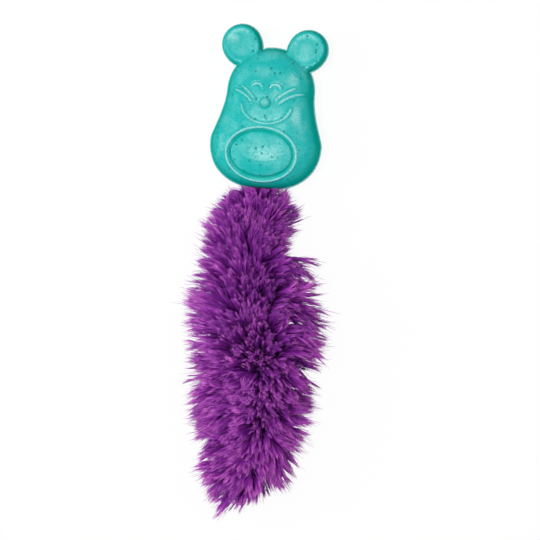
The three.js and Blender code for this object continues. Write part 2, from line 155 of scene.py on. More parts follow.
seen = seen_as_white(sweep)
paint = sweep.node("ShaderNodeBsdfDiffuse", None, {"Color": FLOOR_PAINT})
glow = sweep.node("ShaderNodeEmission", None, {"Color": WHITE, "Strength": 1.0})
mixed = sweep.node("ShaderNodeMixShader", None, {0: seen * FLOOR_WHITENESS, 1: paint, 2: glow})
sweep.node("ShaderNodeOutputMaterial", None, {"Surface": mixed})
bpy.ops.mesh.primitive_plane_add(size=FLOOR_SIZE, location=(0, 0, FLOOR_LEVEL))
floor = bpy.context.object
floor.name = "floor"
floor.data.materials.append(floor_paint)

for lamp_name, (place, size, power) in LAMPS.items():
    bpy.ops.object.light_add(type="AREA", location=Vector(place) + AIM)
    lamp = bpy.context.object
    lamp.name = lamp_name
    lamp.data.size = size
    lamp.data.energy = power
    lamp.rotation_euler = Vector(place).to_track_quat("Z", "Y").to_euler()

world = bpy.data.worlds.new("surround")
bpy.context.scene.world = world
world.use_nodes = True
world.node_tree.nodes.clear()
surround = Tone(world.node_tree)
lit = surround.node("ShaderNodeBackground", None, {"Color": WHITE, "Strength": SURROUND_STRENGTH})
white = surround.node("ShaderNodeBackground", None, {"Color": WHITE, "Strength": 1.0})
sky = surround.node("ShaderNodeMixShader", None, {0: seen_as_white(surround), 1: lit, 2: white})
surround.node("ShaderNodeOutputWorld", None, {"Surface": sky})
bpy.context.scene.view_settings.view_transform = "Standard"

# The mouse is moulded from soft teal rubber with catnip flakes in it, in two halves that are bonded
# at the parting line. This is the pear shape that both halves share: a round head, flanks that swell
# out, and full hips, with two round ears that neck into the head.
BODY_LENGTH = 66.4
BODY_WIDTH = 52.4
HEAD_RADIUS = 20.5
BELLY_RISE = 21.7
BACK_DEPTH = 9
FACE_DEPTH = 11
HIP_FULLNESS = 2.3
DOME_FULLNESS = 4
BACK_FLAT_SHARE = 0.74
FLANK_HANDLE_SHARES = (0.41, 0.11)
DOME_CENTRE = np.array((0, -0.09 * BODY_LENGTH))
EAR_RADIUS = 9.2
EAR_PLACES = ((-16.05, 34.1), (15.8, 33.6))
EAR_NECK = 2.0
EAR_NECK_TOWARDS = (0, 10)
RIM_REACH = 0.5
RIM_BITE = 1.5
RIM_DEPTH = 0.4


def right_flank(fineness):
    head_centre = BODY_LENGTH / 2 - HEAD_RADIUS
    belly_line = BELLY_RISE - BODY_LENGTH / 2
    turn = np.linspace(0, math.pi / 2, fineness, endpoint=False)
    head = np.stack((HEAD_RADIUS * np.sin(turn), head_centre + HEAD_RADIUS * np.cos(turn)), 1)
    drop = head_centre - belly_line
    ends = np.array((
        (HEAD_RADIUS, head_centre),
        (HEAD_RADIUS, head_centre - drop * FLANK_HANDLE_SHARES[0]),
        (BODY_WIDTH / 2, belly_line + drop * FLANK_HANDLE_SHARES[1]),
        (BODY_WIDTH / 2, belly_line),
    ))
    t = np.linspace(0, 1, fineness, endpoint=False)[:, None]
    weights = ((1 - t) ** 3, 3 * t * (1 - t) ** 2, 3 * t**2 * (1 - t), t**3)
    flank = sum(weight * end for weight, end in zip(weights, ends))
    turn = np.linspace(0, math.pi / 2, fineness + 1)
    across = np.maximum(np.cos(turn), 0) ** (2 / HIP_FULLNESS) * BODY_WIDTH / 2
    down = belly_line - BELLY_RISE * np.sin(turn) ** (2 / HIP_FULLNESS)
    return np.concatenate((head, flank, np.stack((across, down), 1)))


def pear_outline(fineness=48):
    right = right_flank(fineness)
    left = right[1:-1] * (-1, 1)
    return np.concatenate((left, right[::-1]))


def circle_outline(centre, radius, count=96):
    turn = np.linspace(0, 2 * math.pi, count, endpoint=False)
    return np.array(centre) + radius * np.stack((np.cos(turn), np.sin(turn)), 1)


def ear_outline(place, grow=0.0):
    """An ear is round, and necks towards the head where it runs into it."""
    circle = circle_outline(place, 1) - np.array(place)
    inward = np.array(EAR_NECK_TOWARDS) - np.array(place)
    inward = inward / np.linalg.norm(inward)
    reach = EAR_RADIUS + grow + EAR_NECK * np.maximum(circle @ inward, 0) ** 2
    return np.array(place) + circle * reach[:, None]


def grown(outline, distance):
    along = np.roll(outline, -1, 0) - np.roll(outline, 1, 0)
    along /= np.linalg.norm(along, axis=1)[:, None]
    return outline + distance * np.stack((along[:, 1], -along[:, 0]), 1)


def raise_rings(name, outline, centre, rings):
    """Draws an outline as a flat face and pulls it up ring by ring: (share of the outline, height)."""
    bpy.ops.object.select_all(action="DESELECT")
    bpy.ops.mesh.primitive_circle_add(vertices=len(outline), fill_type="NGON")
    made = bpy.context.object
    made.name = name
    share, height = rings[0]
    places = np.array(centre) + (outline - np.array(centre)) * share
    for vertex, (x, y) in zip(made.data.vertices, places):
        vertex.co = (x, y, height)
    bpy.ops.object.mode_set(mode="EDIT")
    bpy.ops.mesh.select_all(action="SELECT")
    for next_share, next_height in rings[1:]:
        bpy.ops.mesh.extrude_region_move(TRANSFORM_OT_translate={"value": (0, 0, next_height - height)})
        ratio = next_share / share
        middle = (centre[0], centre[1], next_height)
        bpy.ops.transform.resize(value=(ratio, ratio, 1), center_override=middle)
        share, height = next_share, next_height
    bpy.ops.mesh.select_all(action="SELECT")
    bpy.ops.mesh.normals_make_consistent(inside=False)
    bpy.ops.object.mode_set(mode="OBJECT")
    return made


def apply_modifier(piece, kind, **settings):
    bpy.context.view_layer.objects.active = piece
    modifier = piece.modifiers.new(kind.lower(), kind)
    for key, value in settings.items():
        setattr(modifier, key, value)
    bpy.ops.object.modifier_apply(modifier=modifier.name)


def combine(piece, other, operation):
    apply_modifier(piece, "BOOLEAN", operation=operation, object=other, solver="EXACT")
    bpy.data.objects.remove(other)


def joined(piece, *others):
    bpy.ops.object.select_all(action="DESELECT")
    for other in (piece, *others):
        other.select_set(True)
    bpy.context.view_layer.objects.active = piece
    bpy.ops.object.join()


def points_of(piece):
    places = np.empty(len(piece.data.vertices) * 3)
    piece.data.vertices.foreach_get("co", places)
    return places.reshape(-1, 3)


def set_points(piece, places):
    piece.data.vertices.foreach_set("co", places.ravel())
    piece.data.update()


def normals_of(piece):
    directions = np.empty(len(piece.data.vertices) * 3)
    piece.data.vertex_normals.foreach_get("vector", directions)
    return directions.reshape(-1, 3)


def into_metres(piece):
    piece.data.transform(Matrix.Scale(MM, 4))
    piece.data.update()


pear = pear_outline()

# The tail's anchor takes its space out of both halves: a round seat for the cross pin, and a slot
# that lets the loop swing. Three pegs on the back half locate in sockets of the face half.
PIN_INSET = 7.5
PIN_PLACE = -BODY_LENGTH / 2 + PIN_INSET
PIN_RADIUS = 1.75
PIN_LENGTH = 20
FIT = 0.3
TAPE_WIDTH = 10
TAPE_THICKNESS = 1
SWING_DOWN = math.radians(20)
SWING_UP = math.radians(8)
SLOT_BELOW = PIN_INSET * math.tan(SWING_DOWN) + TAPE_THICKNESS + FIT
SLOT_ABOVE = PIN_INSET * math.tan(SWING_UP) + TAPE_THICKNESS + FIT
SLOT_BORE = PIN_RADIUS + TAPE_THICKNESS + 2 * FIT
SLOT_REACH = 12
PEG_PLACES = ((0, 20.58), (-13, -6.64), (13, -6.64))
PEG_RADIUS = 2
PEG_HEIGHT = 3
CUT_OVERRUN = 1


def slot_block():
    """The slot's space. Its roof rises from its mouth inwards, to clear the loop round the pin."""
    rise = (SLOT_BORE - SLOT_ABOVE) / PIN_INSET * SLOT_REACH
    low, high = BACK_DEPTH - SLOT_BELOW, BACK_DEPTH + SLOT_BORE - rise
    bpy.ops.object.select_all(action="DESELECT")
    middle = (0, PIN_PLACE - SLOT_REACH / 2, (low + high) / 2)
    bpy.ops.mesh.primitive_cube_add(size=1, location=middle)
    block = bpy.context.object
    block.scale = (TAPE_WIDTH + 2 * FIT, SLOT_REACH, high - low)
    bpy.ops.object.transform_apply(location=True, rotation=True, scale=True)
    bpy.ops.object.mode_set(mode="EDIT")
    bpy.ops.mesh.select_mode(type="VERT")
    shape = bmesh.from_edit_mesh(block.data)
    for vertex in shape.verts:
        vertex.select_set(vertex.co.y > middle[1] and vertex.co.z > middle[2])
    shape.select_flush_mode()
    bmesh.update_edit_mesh(block.data)
    bpy.ops.transform.translate(value=(0, 0, rise))
    bpy.ops.object.mode_set(mode="OBJECT")
    return block


def cut_anchor(shell):
    side_on = (0, math.pi / 2, 0)
    seat = {"radius": PIN_RADIUS + FIT, "depth": PIN_LENGTH + 2 * FIT}
    slot_end = {"radius": SLOT_BORE, "depth": TAPE_WIDTH + 2 * FIT}
    for bar in (seat, slot_end):
        bpy.ops.mesh.primitive_cylinder_add(
            vertices=64, location=(0, PIN_PLACE, BACK_DEPTH), rotation=side_on, **bar
        )
        combine(shell, bpy.context.object, "DIFFERENCE")
    combine(shell, slot_block(), "DIFFERENCE")


# The face half carries the whole moulded picture: dished ears, closed smiling eyes, whiskers, a nose
# in its ring, a smile, and an oval belly panel with a raised lip. The lines stand a little over half a
# millimetre proud, with soft edges, and the picture is lifted out of a fine mesh.
FACE_VOXEL = 0.32
EAR_FACE_DEPTH = 4.9
EAR_RIM = 1.7
EAR_DISH = 0.16
EAR_DISH_STEPS = (0.17, 0.33, 0.5, 0.67, 0.83, 1)
EAR_DISH_SHARES = (0.26, 0.25, 0.8)
CROWN_SHARES = (0.12, 0.9999)
LINE_WIDTH = 0.8
LINE_HEIGHT = 0.62
LINE_END_SHARE = 0.62
TROUGH_PLACE = 0.25
TROUGH_WIDTH = 0.3
TROUGH_DEPTH = 0.16
FACE_SHIFT = -0.45
EYES = (4.35, 13.5, 2.35, 1.7)
SMILE = (0.4, 5.4, 11.75, 8.7)
NOSE = (-0.35, 6.5)
NOSE_RADIUS = 2.1
NOSE_HEIGHT = 1.2
NOSE_RING_PLACE = 0.25
NOSE_RING_WIDTH = 0.4
NOSE_RING_DEPTH = 0.45
WHISKERS = (
    ((-12.1, 13.5), (-8.9, 11.3), (-5.6, 8.0)),
    ((-15.5, 11.8), (-10.6, 9.7), (-6.7, 6.2)),
    ((13.0, 14.0), (8.5, 11.5), (4.9, 8.2)),
    ((17.3, 12.0), (11.4, 10.1), (6.4, 6.5)),
)
PANEL_CENTRE = (0, -17.5)
PANEL_HALF = (16.6, 12.4)
PANEL_CREASE = 1.6
CREASE_DEPTH = 0.9
LIP_HEIGHT = 0.85
LIP_WIDTH = 0.62
PAD_RUN = 1.2
PAD_RISE = 0.8
PAD_CROWN = 0.6
PICTURE_LOWEST = BACK_DEPTH + 2
STEEP_FROM = 0.96
STEEP_RUN = 0.5


def dome_rings(count=16):
    turn = np.linspace(0, math.pi / 2, count, endpoint=False)
    shares = np.cos(turn) ** (2 / DOME_FULLNESS)
    heights = BACK_DEPTH + FACE_DEPTH * np.sin(turn)
    crown_share, crown_rise = CROWN_SHARES
    return [*zip(shares, heights), (crown_share, BACK_DEPTH + FACE_DEPTH * crown_rise)]


def ear_rings(depth, dish, count=10):
    turn = np.linspace(0, math.pi / 2, count)
    rim_share = EAR_RIM / EAR_RADIUS
    rings = list(zip(1 - rim_share * (1 - np.cos(turn)), BACK_DEPTH + depth * np.sin(turn)))
    inner = 1 - rim_share
    sink = math.copysign(dish, depth)
    run, middle, middle_sink = EAR_DISH_SHARES
    for part in EAR_DISH_STEPS:
        fall = (1 - math.cos(part * math.pi)) / 2
        rings.append((inner - run * part, BACK_DEPTH + depth - sink * fall))
    rings.append((middle, BACK_DEPTH + depth - sink * middle_sink))
    return rings


def arc_line(centre_x, centre_y, half_width, rise, start, end, count=60):
    turn = np.linspace(math.radians(start), math.radians(end), count)
    return np.stack((centre_x + half_width * np.cos(turn), centre_y + rise * np.sin(turn)), 1)


def bowed_line(first, middle, last, count=40):
    t = np.linspace(0, 1, count)[:, None]
    first, middle, last = (np.array(point) for point in (first, middle, last))
    control = 2 * middle - (first + last) / 2
    return first * (1 - t) ** 2 + control * 2 * t * (1 - t) + last * t**2


def face_lines():
    across, up, half, rise = EYES
    lines = [arc_line(side * across + FACE_SHIFT, up, half, rise, 0, 180) for side in (-1, 1)]
    lines.append(arc_line(*SMILE, 180, 353))
    return lines + [bowed_line(*whisker) for whisker in WHISKERS]


def line_relief(x, y, line):
    """How far a moulded line lifts each place: a round ridge in a shallow trough, thinner at its ends."""
    lift = np.zeros(len(x))
    low, high = line.min(0) - 2 * LINE_WIDTH, line.max(0) + 2 * LINE_WIDTH
    near = np.flatnonzero((x > low[0]) & (x < high[0]) & (y > low[1]) & (y < high[1]))
    gap = np.stack((x[near], y[near]), 1)[:, None, :] - line[None]
    distance = np.sqrt((gap**2).sum(2))
    nearest = distance.argmin(1)
    closest = distance.min(1)
    place = nearest / (len(line) - 1)
    taper = np.clip(np.minimum(place, 1 - place) * 8 + LINE_END_SHARE, 0, 1)
    ridge = np.clip(1 - (closest / (LINE_WIDTH * taper)) ** 2, 0, 1) ** 1.1
    trough = np.exp(-(((closest - LINE_WIDTH - TROUGH_PLACE) / TROUGH_WIDTH) ** 2))
    lift[near] = (LINE_HEIGHT * ridge - TROUGH_DEPTH * trough) * taper
    return lift


def panel_relief(x, y):
    """The belly panel: a raised lip, a slope down inside it to a crease, and a pad that swells again.

    It gives the lift of every place, and a mark for the colour: high on the lip, part wear and part
    painted highlight, and low in the crease for painted shade."""
    across = (x - PANEL_CENTRE[0]) / PANEL_HALF[0]
    up = (y - PANEL_CENTRE[1]) / PANEL_HALF[1]
    share = np.sqrt(across**2 + up**2) + 1e-6
    slope = np.sqrt((across / PANEL_HALF[0]) ** 2 + (up / PANEL_HALF[1]) ** 2) / share + 1e-6
    gap = (share - 1) / slope
    lip = LIP_HEIGHT * np.exp(-((gap / LIP_WIDTH) ** 2))
    into = np.clip(-gap / PANEL_CREASE, 0, 1)
    wall = np.where(gap < 0, -CREASE_DEPTH * into**1.6, 0)
    past = np.clip((-gap - PANEL_CREASE) / PAD_RUN, 0, 1)
    pad = np.where(-gap > PANEL_CREASE, PAD_RISE * np.sin(past * math.pi / 2), 0)
    crown = np.clip(1 - share**2, 0, 1) * PAD_CROWN
    return lip + wall + pad + crown, lip + wall + pad


def nose_relief(x, y):
    distance = np.hypot(x - NOSE[0], y - NOSE[1])
    button = NOSE_HEIGHT * np.sqrt(np.clip(1 - (distance / NOSE_RADIUS) ** 2, 0, 1))
    ring = np.exp(-(((distance - NOSE_RADIUS - NOSE_RING_PLACE) / NOSE_RING_WIDTH) ** 2))
    return np.where(distance < NOSE_RADIUS, button, -NOSE_RING_DEPTH * ring)


# Patches of painted highlight on the rubber's colour.
PAINTED_HIGHLIGHT_PATCHES = (
    (14.8, 1.5, 4.4, 6.4, 0.52),
    (12.2, 18.5, 4.6, 6.0, 0.48),
    (5.0, 10.0, 5.0, 5.0, 0.36),
    (1, -19, 6, 4, 0.42),
    (-4, 21, 9, 6, 0.3),
    (-19.5, 36.2, 3.6, 3.0, 0.46),
    (15.2, 33.6, 4.4, 4.6, 0.34),
)
# How strongly each mark paints the rubber: ridges, nose and rim paler, part wear and part painted
# highlight; troughs, nose ring and steep edges darker with painted shade.
RIDGE_WEAR_AND_HIGHLIGHT = 0.8
TROUGH_SHADE = 3
NOSE_MARK_MOST = 0.3
NOSE_RING_SHADE = 1.4
STEEP_SHADE = 0.8
RIM_HIGHLIGHT = 0.5
RELIEF_AND_LIGHT_LAYER = "relief"


def painted_highlights(x, y):
    """Painted highlights: pale patches painted on the cheeks, brow, pad and ears where glints fall.

    A patch is its place across and up, its width and height, and how strong it is."""
    return sum(
        amount * np.exp(-(((x - across) / wide) ** 2) - ((y - up) / tall) ** 2)
        for across, up, wide, tall, amount in PAINTED_HIGHLIGHT_PATCHES
    )


def mark_relief_and_light(piece, values):
    """Notes on every point a mark for the rubber's colour: high for paler, part wear and part painted
    highlight, low for painted shade.
    """
    layer = piece.data.attributes.new(RELIEF_AND_LIGHT_LAYER, "FLOAT", "POINT")
    layer.data.foreach_set("value", np.asarray(values, np.float32))


def mould_picture(shell):
    """Lifts the fine mesh of the face half into the moulded picture, along its own normals."""
    places = points_of(shell)
    x, y, z = places.T
    directions = normals_of(shell)
    lift, relief = panel_relief(x, y)
    for line in face_lines():
        ridge = line_relief(x, y, line)
        lift = np.where(np.abs(ridge) > np.abs(lift), ridge, lift)
        # A line's trough is marked for painted shade, and its crest for paler colour, part wear and part
        # painted highlight.
        mark = np.where(ridge < 0, TROUGH_SHADE * ridge, RIDGE_WEAR_AND_HIGHLIGHT * ridge)
        relief = np.where(np.abs(mark) > np.abs(relief), mark, relief)
    nose = nose_relief(x, y)
    facing = np.clip(directions[:, 2] * 4 - 0.4, 0, 1) * (z > PICTURE_LOWEST)
    set_points(shell, places + directions * ((lift + nose) * facing)[:, None])
    # Steep edges and the nose ring are marked for painted shade, and the painted highlight patches are
    # added in.
    steep = np.clip((STEEP_FROM - directions[:, 2]) / STEEP_RUN, 0, 1)
    nose_mark = np.where(nose < 0, NOSE_RING_SHADE * nose, np.minimum(nose, NOSE_MARK_MOST))
    mark_relief_and_light(shell, (relief + painted_highlights(x, y) + nose_mark) * facing - STEEP_SHADE * steep)


def parting_rim(name, low, high):
    """The thin flange that the mould's parting line leaves all round one half."""

    def plate(plate_name, reach, base, top):
        made = raise_rings(plate_name, grown(pear, reach), DOME_CENTRE, [(1, base), (1, top)])
        for place in EAR_PLACES:
            ear = raise_rings("ear_plate", ear_outline(place, reach), place, [(1, base), (1, top)])
            combine(made, ear, "UNION")
        return made

    rim = plate(name, RIM_REACH, low, high)
    combine(rim, plate("inside", -RIM_BITE, low - CUT_OVERRUN, high + CUT_OVERRUN), "DIFFERENCE")
    combine(rim, slot_block(), "DIFFERENCE")
    # The flange is marked pale all round: a painted highlight along its thin edge.
    mark_relief_and_light(rim, np.full(len(rim.data.vertices), RIM_HIGHLIGHT))
    return rim


def moulded_half(name, body_rings, ears, pegs, peg_operation, voxel):
    """One half in rubber: the body and ears, less the anchor's space, with its pegs or their sockets.

    The pegs are given as their radius, lowest and highest levels."""
    half = raise_rings(name, pear, DOME_CENTRE, body_rings)
    peg_radius, peg_low, peg_high = pegs
    for place in EAR_PLACES:
        ear = raise_rings("ear", ear_outline(place), place, ears)
        combine(half, ear, "UNION")
    cut_anchor(half)
    for place in PEG_PLACES:
        outline = circle_outline(place, peg_radius, 48)
        peg = raise_rings("peg", outline, place, [(1, peg_low), (1, peg_high)])
        combine(half, peg, peg_operation)
    apply_modifier(half, "REMESH", mode="VOXEL", voxel_size=voxel, use_smooth_shade=True)
    apply_modifier(half, "SMOOTH", factor=0.5, iterations=3)
    return half


front_shell = moulded_half(
    "front_shell_moulding",
    dome_rings(),
    ear_rings(EAR_FACE_DEPTH, EAR_DISH),
    (PEG_RADIUS + FIT, BACK_DEPTH - 2 * CUT_OVERRUN, BACK_DEPTH + PEG_HEIGHT + FIT),
    "DIFFERENCE",
    FACE_VOXEL,
)
mould_picture(front_shell)
joined(front_shell, parting_rim("front_rim", BACK_DEPTH, BACK_DEPTH + RIM_DEPTH))
into_metres(front_shell)
front_shell.data.shade_smooth()


# Catnip rubber is a clouded, slightly see-through teal with dark green flakes and finer dust set in it.
# It comes out of a satin mould, so its sheen is soft and its surface has a faint orange-peel ripple.
# Its colour is painted paler on the ridges, lip, nose and rim, part wear and part painted highlight, with
# patches of painted highlight, and darker with painted shade in the hollows and on the steep edges.
def srgb(red, green, blue):
    def linear(value):
        share = value / 255
        return share / 12.92 if share <= 0.04045 else ((share + 0.055) / 1.055) ** 2.4

    return (linear(red), linear(green), linear(blue), 1)


RUBBER_TEAL = srgb(24, 178, 175)
RUBBER_PALE = srgb(104, 204, 200)
# The deeper teal serves for random deeper patches and for painted shade.
RUBBER_DEEP_AND_SHADE = srgb(0, 160, 146)
# The pale colour stands for wear and for painted highlight.
RUBBER_WORN_AND_HIGHLIGHT = srgb(168, 230, 226)
FLAKE_GREEN = srgb(0, 104, 96)
FLAKE_SPACING = 2.5 * MM
FLAKE_RADIUS = 0.12
DUST_SPACING = 1.1 * MM
CLOUD_SIZE = 9 * MM
FRECKLE_SIZE = 0.7 * MM
DEEP_MOTTLE_SIZE = 1.0 * MM
FLAKE_RAGGEDNESS = 0.9 * MM
WEAR_AND_HIGHLIGHT_SIZES = (1.4 * MM, 0.8 * MM)
GLOSS_SIZE = 0.9 * MM
RIPPLE_SIZES = (1.6 * MM, 0.35 * MM)
RIPPLE_HEIGHT = 0.1 * MM
LIGHT_REACH = 1.2 * MM


class Finish(Tone):
    """A material being made. Its texture nodes read the piece's own Object coordinates."""

    def __init__(self, name):
        self.material = bpy.data.materials.new(name)
        self.material.use_nodes = True
        self.material.node_tree.nodes.clear()
        super().__init__(self.material.node_tree)
        self.place = self.node("ShaderNodeTexCoord", output="Object")

    def noise(self, size, detail, rough=0.5):
        sockets = {"Vector": self.place, "Scale": 1 / size, "Detail": detail, "Roughness": rough}
        return self.node("ShaderNodeTexNoise", {"noise_dimensions": "3D"}, sockets)

    def cells(self, size, output):
        sockets = {"Vector": self.place, "Scale": 1 / size, "Randomness": 1}
        return self.node("ShaderNodeTexVoronoi", {"feature": "F1"}, sockets, output)

    def wave(self, value, length):
        return self.node("ShaderNodeMath", {"operation": "SINE"}, {0: value * (2 * math.pi / length)})

    def fade(self, value, low, high):
        """1 below the low value, 0 above the high one, and soft between them."""
        sockets = {"Value": value, 1: low, 2: high, 3: 1, 4: 0}
        return self.node("ShaderNodeMapRange", {"interpolation_type": "SMOOTHSTEP"}, sockets)

    def blend(self, amount, first, second):
        sockets = {0: amount, 6: first, 7: second}
        return self.node("ShaderNodeMix", {"data_type": "RGBA"}, sockets, 2)

    def bump(self, strength, distance, height):
        sockets = {"Strength": strength, "Distance": distance, "Height": height}
        return self.node("ShaderNodeBump", None, sockets)

    def close(self, **sockets):
        """Ends the material with its shader."""
        named = {key.replace("_", " "): value for key, value in sockets.items()}
        shader = self.node("ShaderNodeBsdfPrincipled", None, named)
        self.node("ShaderNodeOutputMaterial", None, {"Surface": shader})
        return self.material


def catnip_rubber():
    finish = Finish("catnip_rubber")
    noise, cells, fade, blend = finish.noise, finish.cells, finish.fade, finish.blend
    cloud = noise(CLOUD_SIZE, 3)
    colour = blend(1 - fade(cloud, 0.45, 0.68), RUBBER_TEAL, RUBBER_PALE)
    colour = blend(0.6, colour, RUBBER_TEAL)
    freckle = 1 - fade(noise(FRECKLE_SIZE, 2), 0.5, 0.66)
    colour = blend(freckle * (0.08 + 0.4 * (1 - fade(cloud, 0.4, 0.6))), colour, RUBBER_PALE)
    # Random patches of deeper teal.
    colour = blend(fade(noise(DEEP_MOTTLE_SIZE, 2, 0.6), 0.34, 0.5) * 0.3, colour, RUBBER_DEEP_AND_SHADE)
    dust = fade(cells(DUST_SPACING, "Distance"), 0.1, 0.34)
    dust_pick = finish.node("ShaderNodeSeparateColor", None, {0: cells(DUST_SPACING, "Color")})
    colour = blend(dust * fade(dust_pick, 0.1, 0.14) * 0.5, colour, FLAKE_GREEN)
    ragged = cells(FLAKE_SPACING, "Distance") + noise(FLAKE_RAGGEDNESS, 1) * 0.1
    flake = fade(ragged, FLAKE_RADIUS, FLAKE_RADIUS + 0.3)
    flake_pick = finish.node("ShaderNodeSeparateColor", None, {0: cells(FLAKE_SPACING, "Color")})
    flake = flake * fade(flake_pick, 0.34, 0.46)
    colour = blend(flake * 0.68, colour, FLAKE_GREEN)
    relief = finish.node("ShaderNodeAttribute", {"attribute_name": RELIEF_AND_LIGHT_LAYER}, output="Fac")
    broad, fine = WEAR_AND_HIGHLIGHT_SIZES
    wear_and_highlight = 0.22 + 0.3 * noise(broad, 2) + 0.34 * (1 - fade(noise(fine, 2), 0.34, 0.66))
    # Paler where the marks are high: part wear, part painted highlight.
    colour = blend((1 - fade(relief, 0.15, 0.6)) * wear_and_highlight, colour, RUBBER_WORN_AND_HIGHLIGHT)
    # Deeper where the marks are low: painted shade in the crease, troughs and nose ring and on steep
    # edges.
    colour = blend(fade(relief, -0.8, -0.12) * 0.86, colour, RUBBER_DEEP_AND_SHADE)
    gloss = 0.2 + 0.32 * (1 - fade(noise(GLOSS_SIZE, 2), 0.34, 0.66))
    broad, fine = RIPPLE_SIZES
    ripple = noise(broad, 2) * 0.7 + noise(fine, 1) * 0.3
    return finish.close(
        Base_Color=colour,
        Roughness=0.5,
        Normal=finish.bump(0.4, RIPPLE_HEIGHT, ripple),
        Subsurface_Weight=0.15,
        Subsurface_Radius=(0.3, 1.0, 0.95),
        Subsurface_Scale=LIGHT_REACH,
        Specular_IOR_Level=0.0,
        Coat_Weight=(1 - fade(relief, -0.75, -0.3)) * (1 - flake) * gloss,
        Coat_Roughness=0.25,
        Coat_IOR=1.5,
    )


rubber = catnip_rubber()
front_shell.data.materials.clear()
front_shell.data.materials.append(rubber)
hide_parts("front_shell")
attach(front_shell, "mouse")

# The back half is plain: rounded edges down to a flat back, the backs of the ears, and three pegs.
# It is the same rubber, and its flange meets the face half's to make the parting line.
BACK_VOXEL = 0.38
EAR_BACK_DEPTH = 5


def back_rings(count=14):
    turn = np.linspace(0, math.pi / 2, count)
    shares = BACK_FLAT_SHARE + (1 - BACK_FLAT_SHARE) * np.cos(turn)
    return list(zip(shares, BACK_DEPTH - BACK_DEPTH * np.sin(turn)))


back_shell = moulded_half(
    "back_shell_moulding",
    back_rings(),
    ear_rings(-EAR_BACK_DEPTH, 0),
    (PEG_RADIUS, BACK_DEPTH - PEG_HEIGHT, BACK_DEPTH + PEG_HEIGHT),
    "UNION",
    BACK_VOXEL,
)
joined(back_shell, parting_rim("back_rim", BACK_DEPTH - RIM_DEPTH, BACK_DEPTH))
into_metres(back_shell)
back_shell.data.shade_smooth()
back_shell.data.materials.clear()
back_shell.data.materials.append(rubber)
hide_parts("back_shell")
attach(back_shell, "mouse")

# The tail's anchor is a moulded white plastic pin, held across the slot between the halves.
# It keeps the shape of its CAD node, with the fine grain of a sparked mould.
PLASTIC_DULL = srgb(226, 226, 220)
PLASTIC_WHITE = srgb(240, 240, 236)
PLASTIC_CLOUD_SIZE = 3 * MM
PLASTIC_PATCH_SIZE = 0.6 * MM
PLASTIC_GRAIN_SIZE = 0.25 * MM
PLASTIC_GRAIN_HEIGHT = 0.05 * MM


def moulded_white():
    finish = Finish("moulded_white_plastic")
    colour = finish.blend(finish.noise(PLASTIC_CLOUD_SIZE, 2), PLASTIC_DULL, PLASTIC_WHITE)
    grain = finish.bump(0.3, PLASTIC_GRAIN_HEIGHT, finish.noise(PLASTIC_GRAIN_SIZE, 3))
    roughness = 0.42 + finish.noise(PLASTIC_PATCH_SIZE, 2) * 0.12
    return finish.close(Base_Color=colour, Roughness=roughness, Normal=grain, IOR=1.49)


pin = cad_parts["anchor_pin"]
pin.data.materials.clear()
pin.data.materials.append(moulded_white())

# A loop of woven webbing goes round the pin. Both plies leave the slot together and run into the tail.
# It is one flat strip, spun half a turn about the pin, then given its thickness and softened edges.
LOOP_BEND = PIN_RADIUS + FIT + TAPE_THICKNESS / 2
LOOP_MEET = 6.5
LOOP_TAIL = 17.5
PLY_GAP = 0.03
PLY_STEPS = 11
TAPE_SHARE = 0.9
TAPE_EDGE = 0.25
WEAVE_RIB = 0.75 * MM
WEAVE_PICK = 0.62 * MM
WEAVE_DEPTH = 0.25 * MM
FUZZ_SIZE = 0.4 * MM
WEBBING_DARK = srgb(38, 12, 50)
WEBBING_LIGHT = srgb(86, 34, 102)
WEBBING_FUZZ = srgb(112, 54, 128)
NEAR = 0.01


def webbing_loop():
    bpy.ops.object.select_all(action="DESELECT")
    ply = LOOP_TAIL - LOOP_MEET
    level = BACK_DEPTH - TAPE_THICKNESS / 2 - PLY_GAP
    far = PIN_PLACE - LOOP_TAIL
    bpy.ops.mesh.primitive_grid_add(
        x_subdivisions=10, y_subdivisions=PLY_STEPS, size=1, location=(0, 0, 0)
    )
    loop = bpy.context.object
    loop.name = "webbing_loop"
    places = points_of(loop) * (TAPE_WIDTH, ply, 1) + (0, far + ply / 2, level)
    set_points(loop, places)
    bpy.ops.object.mode_set(mode="EDIT")
    bpy.ops.mesh.select_mode(type="EDGE")
    shape = bmesh.from_edit_mesh(loop.data)
    for edge in shape.edges:
        edge.select_set(all(vertex.co.y > far + ply - NEAR for vertex in edge.verts))
    shape.select_flush_mode()
    bmesh.update_edit_mesh(loop.data)

    def draw_out(run, rise, steps):
        for _ in range(steps):
            move = (0, run / steps, rise / steps)
            bpy.ops.mesh.extrude_region_move(TRANSFORM_OT_translate={"value": move})

    rise = BACK_DEPTH - LOOP_BEND - level
    draw_out(LOOP_MEET, rise, 4)
    bpy.ops.mesh.spin(
        steps=14, angle=math.pi, center=(0, PIN_PLACE, BACK_DEPTH), axis=(1, 0, 0), use_auto_merge=False
    )
    draw_out(-LOOP_MEET, rise, 4)
    draw_out(-ply, 0, PLY_STEPS)
    bpy.ops.mesh.select_all(action="SELECT")
    bpy.ops.mesh.normals_make_consistent(inside=False)
    bpy.ops.object.mode_set(mode="OBJECT")
    apply_modifier(loop, "SOLIDIFY", thickness=TAPE_THICKNESS * TAPE_SHARE, offset=0)
    sharp = {"limit_method": "ANGLE", "angle_limit": math.radians(50)}
    apply_modifier(loop, "BEVEL", width=TAPE_EDGE, segments=2, **sharp)
    into_metres(loop)
    loop.data.shade_smooth()
    return loop


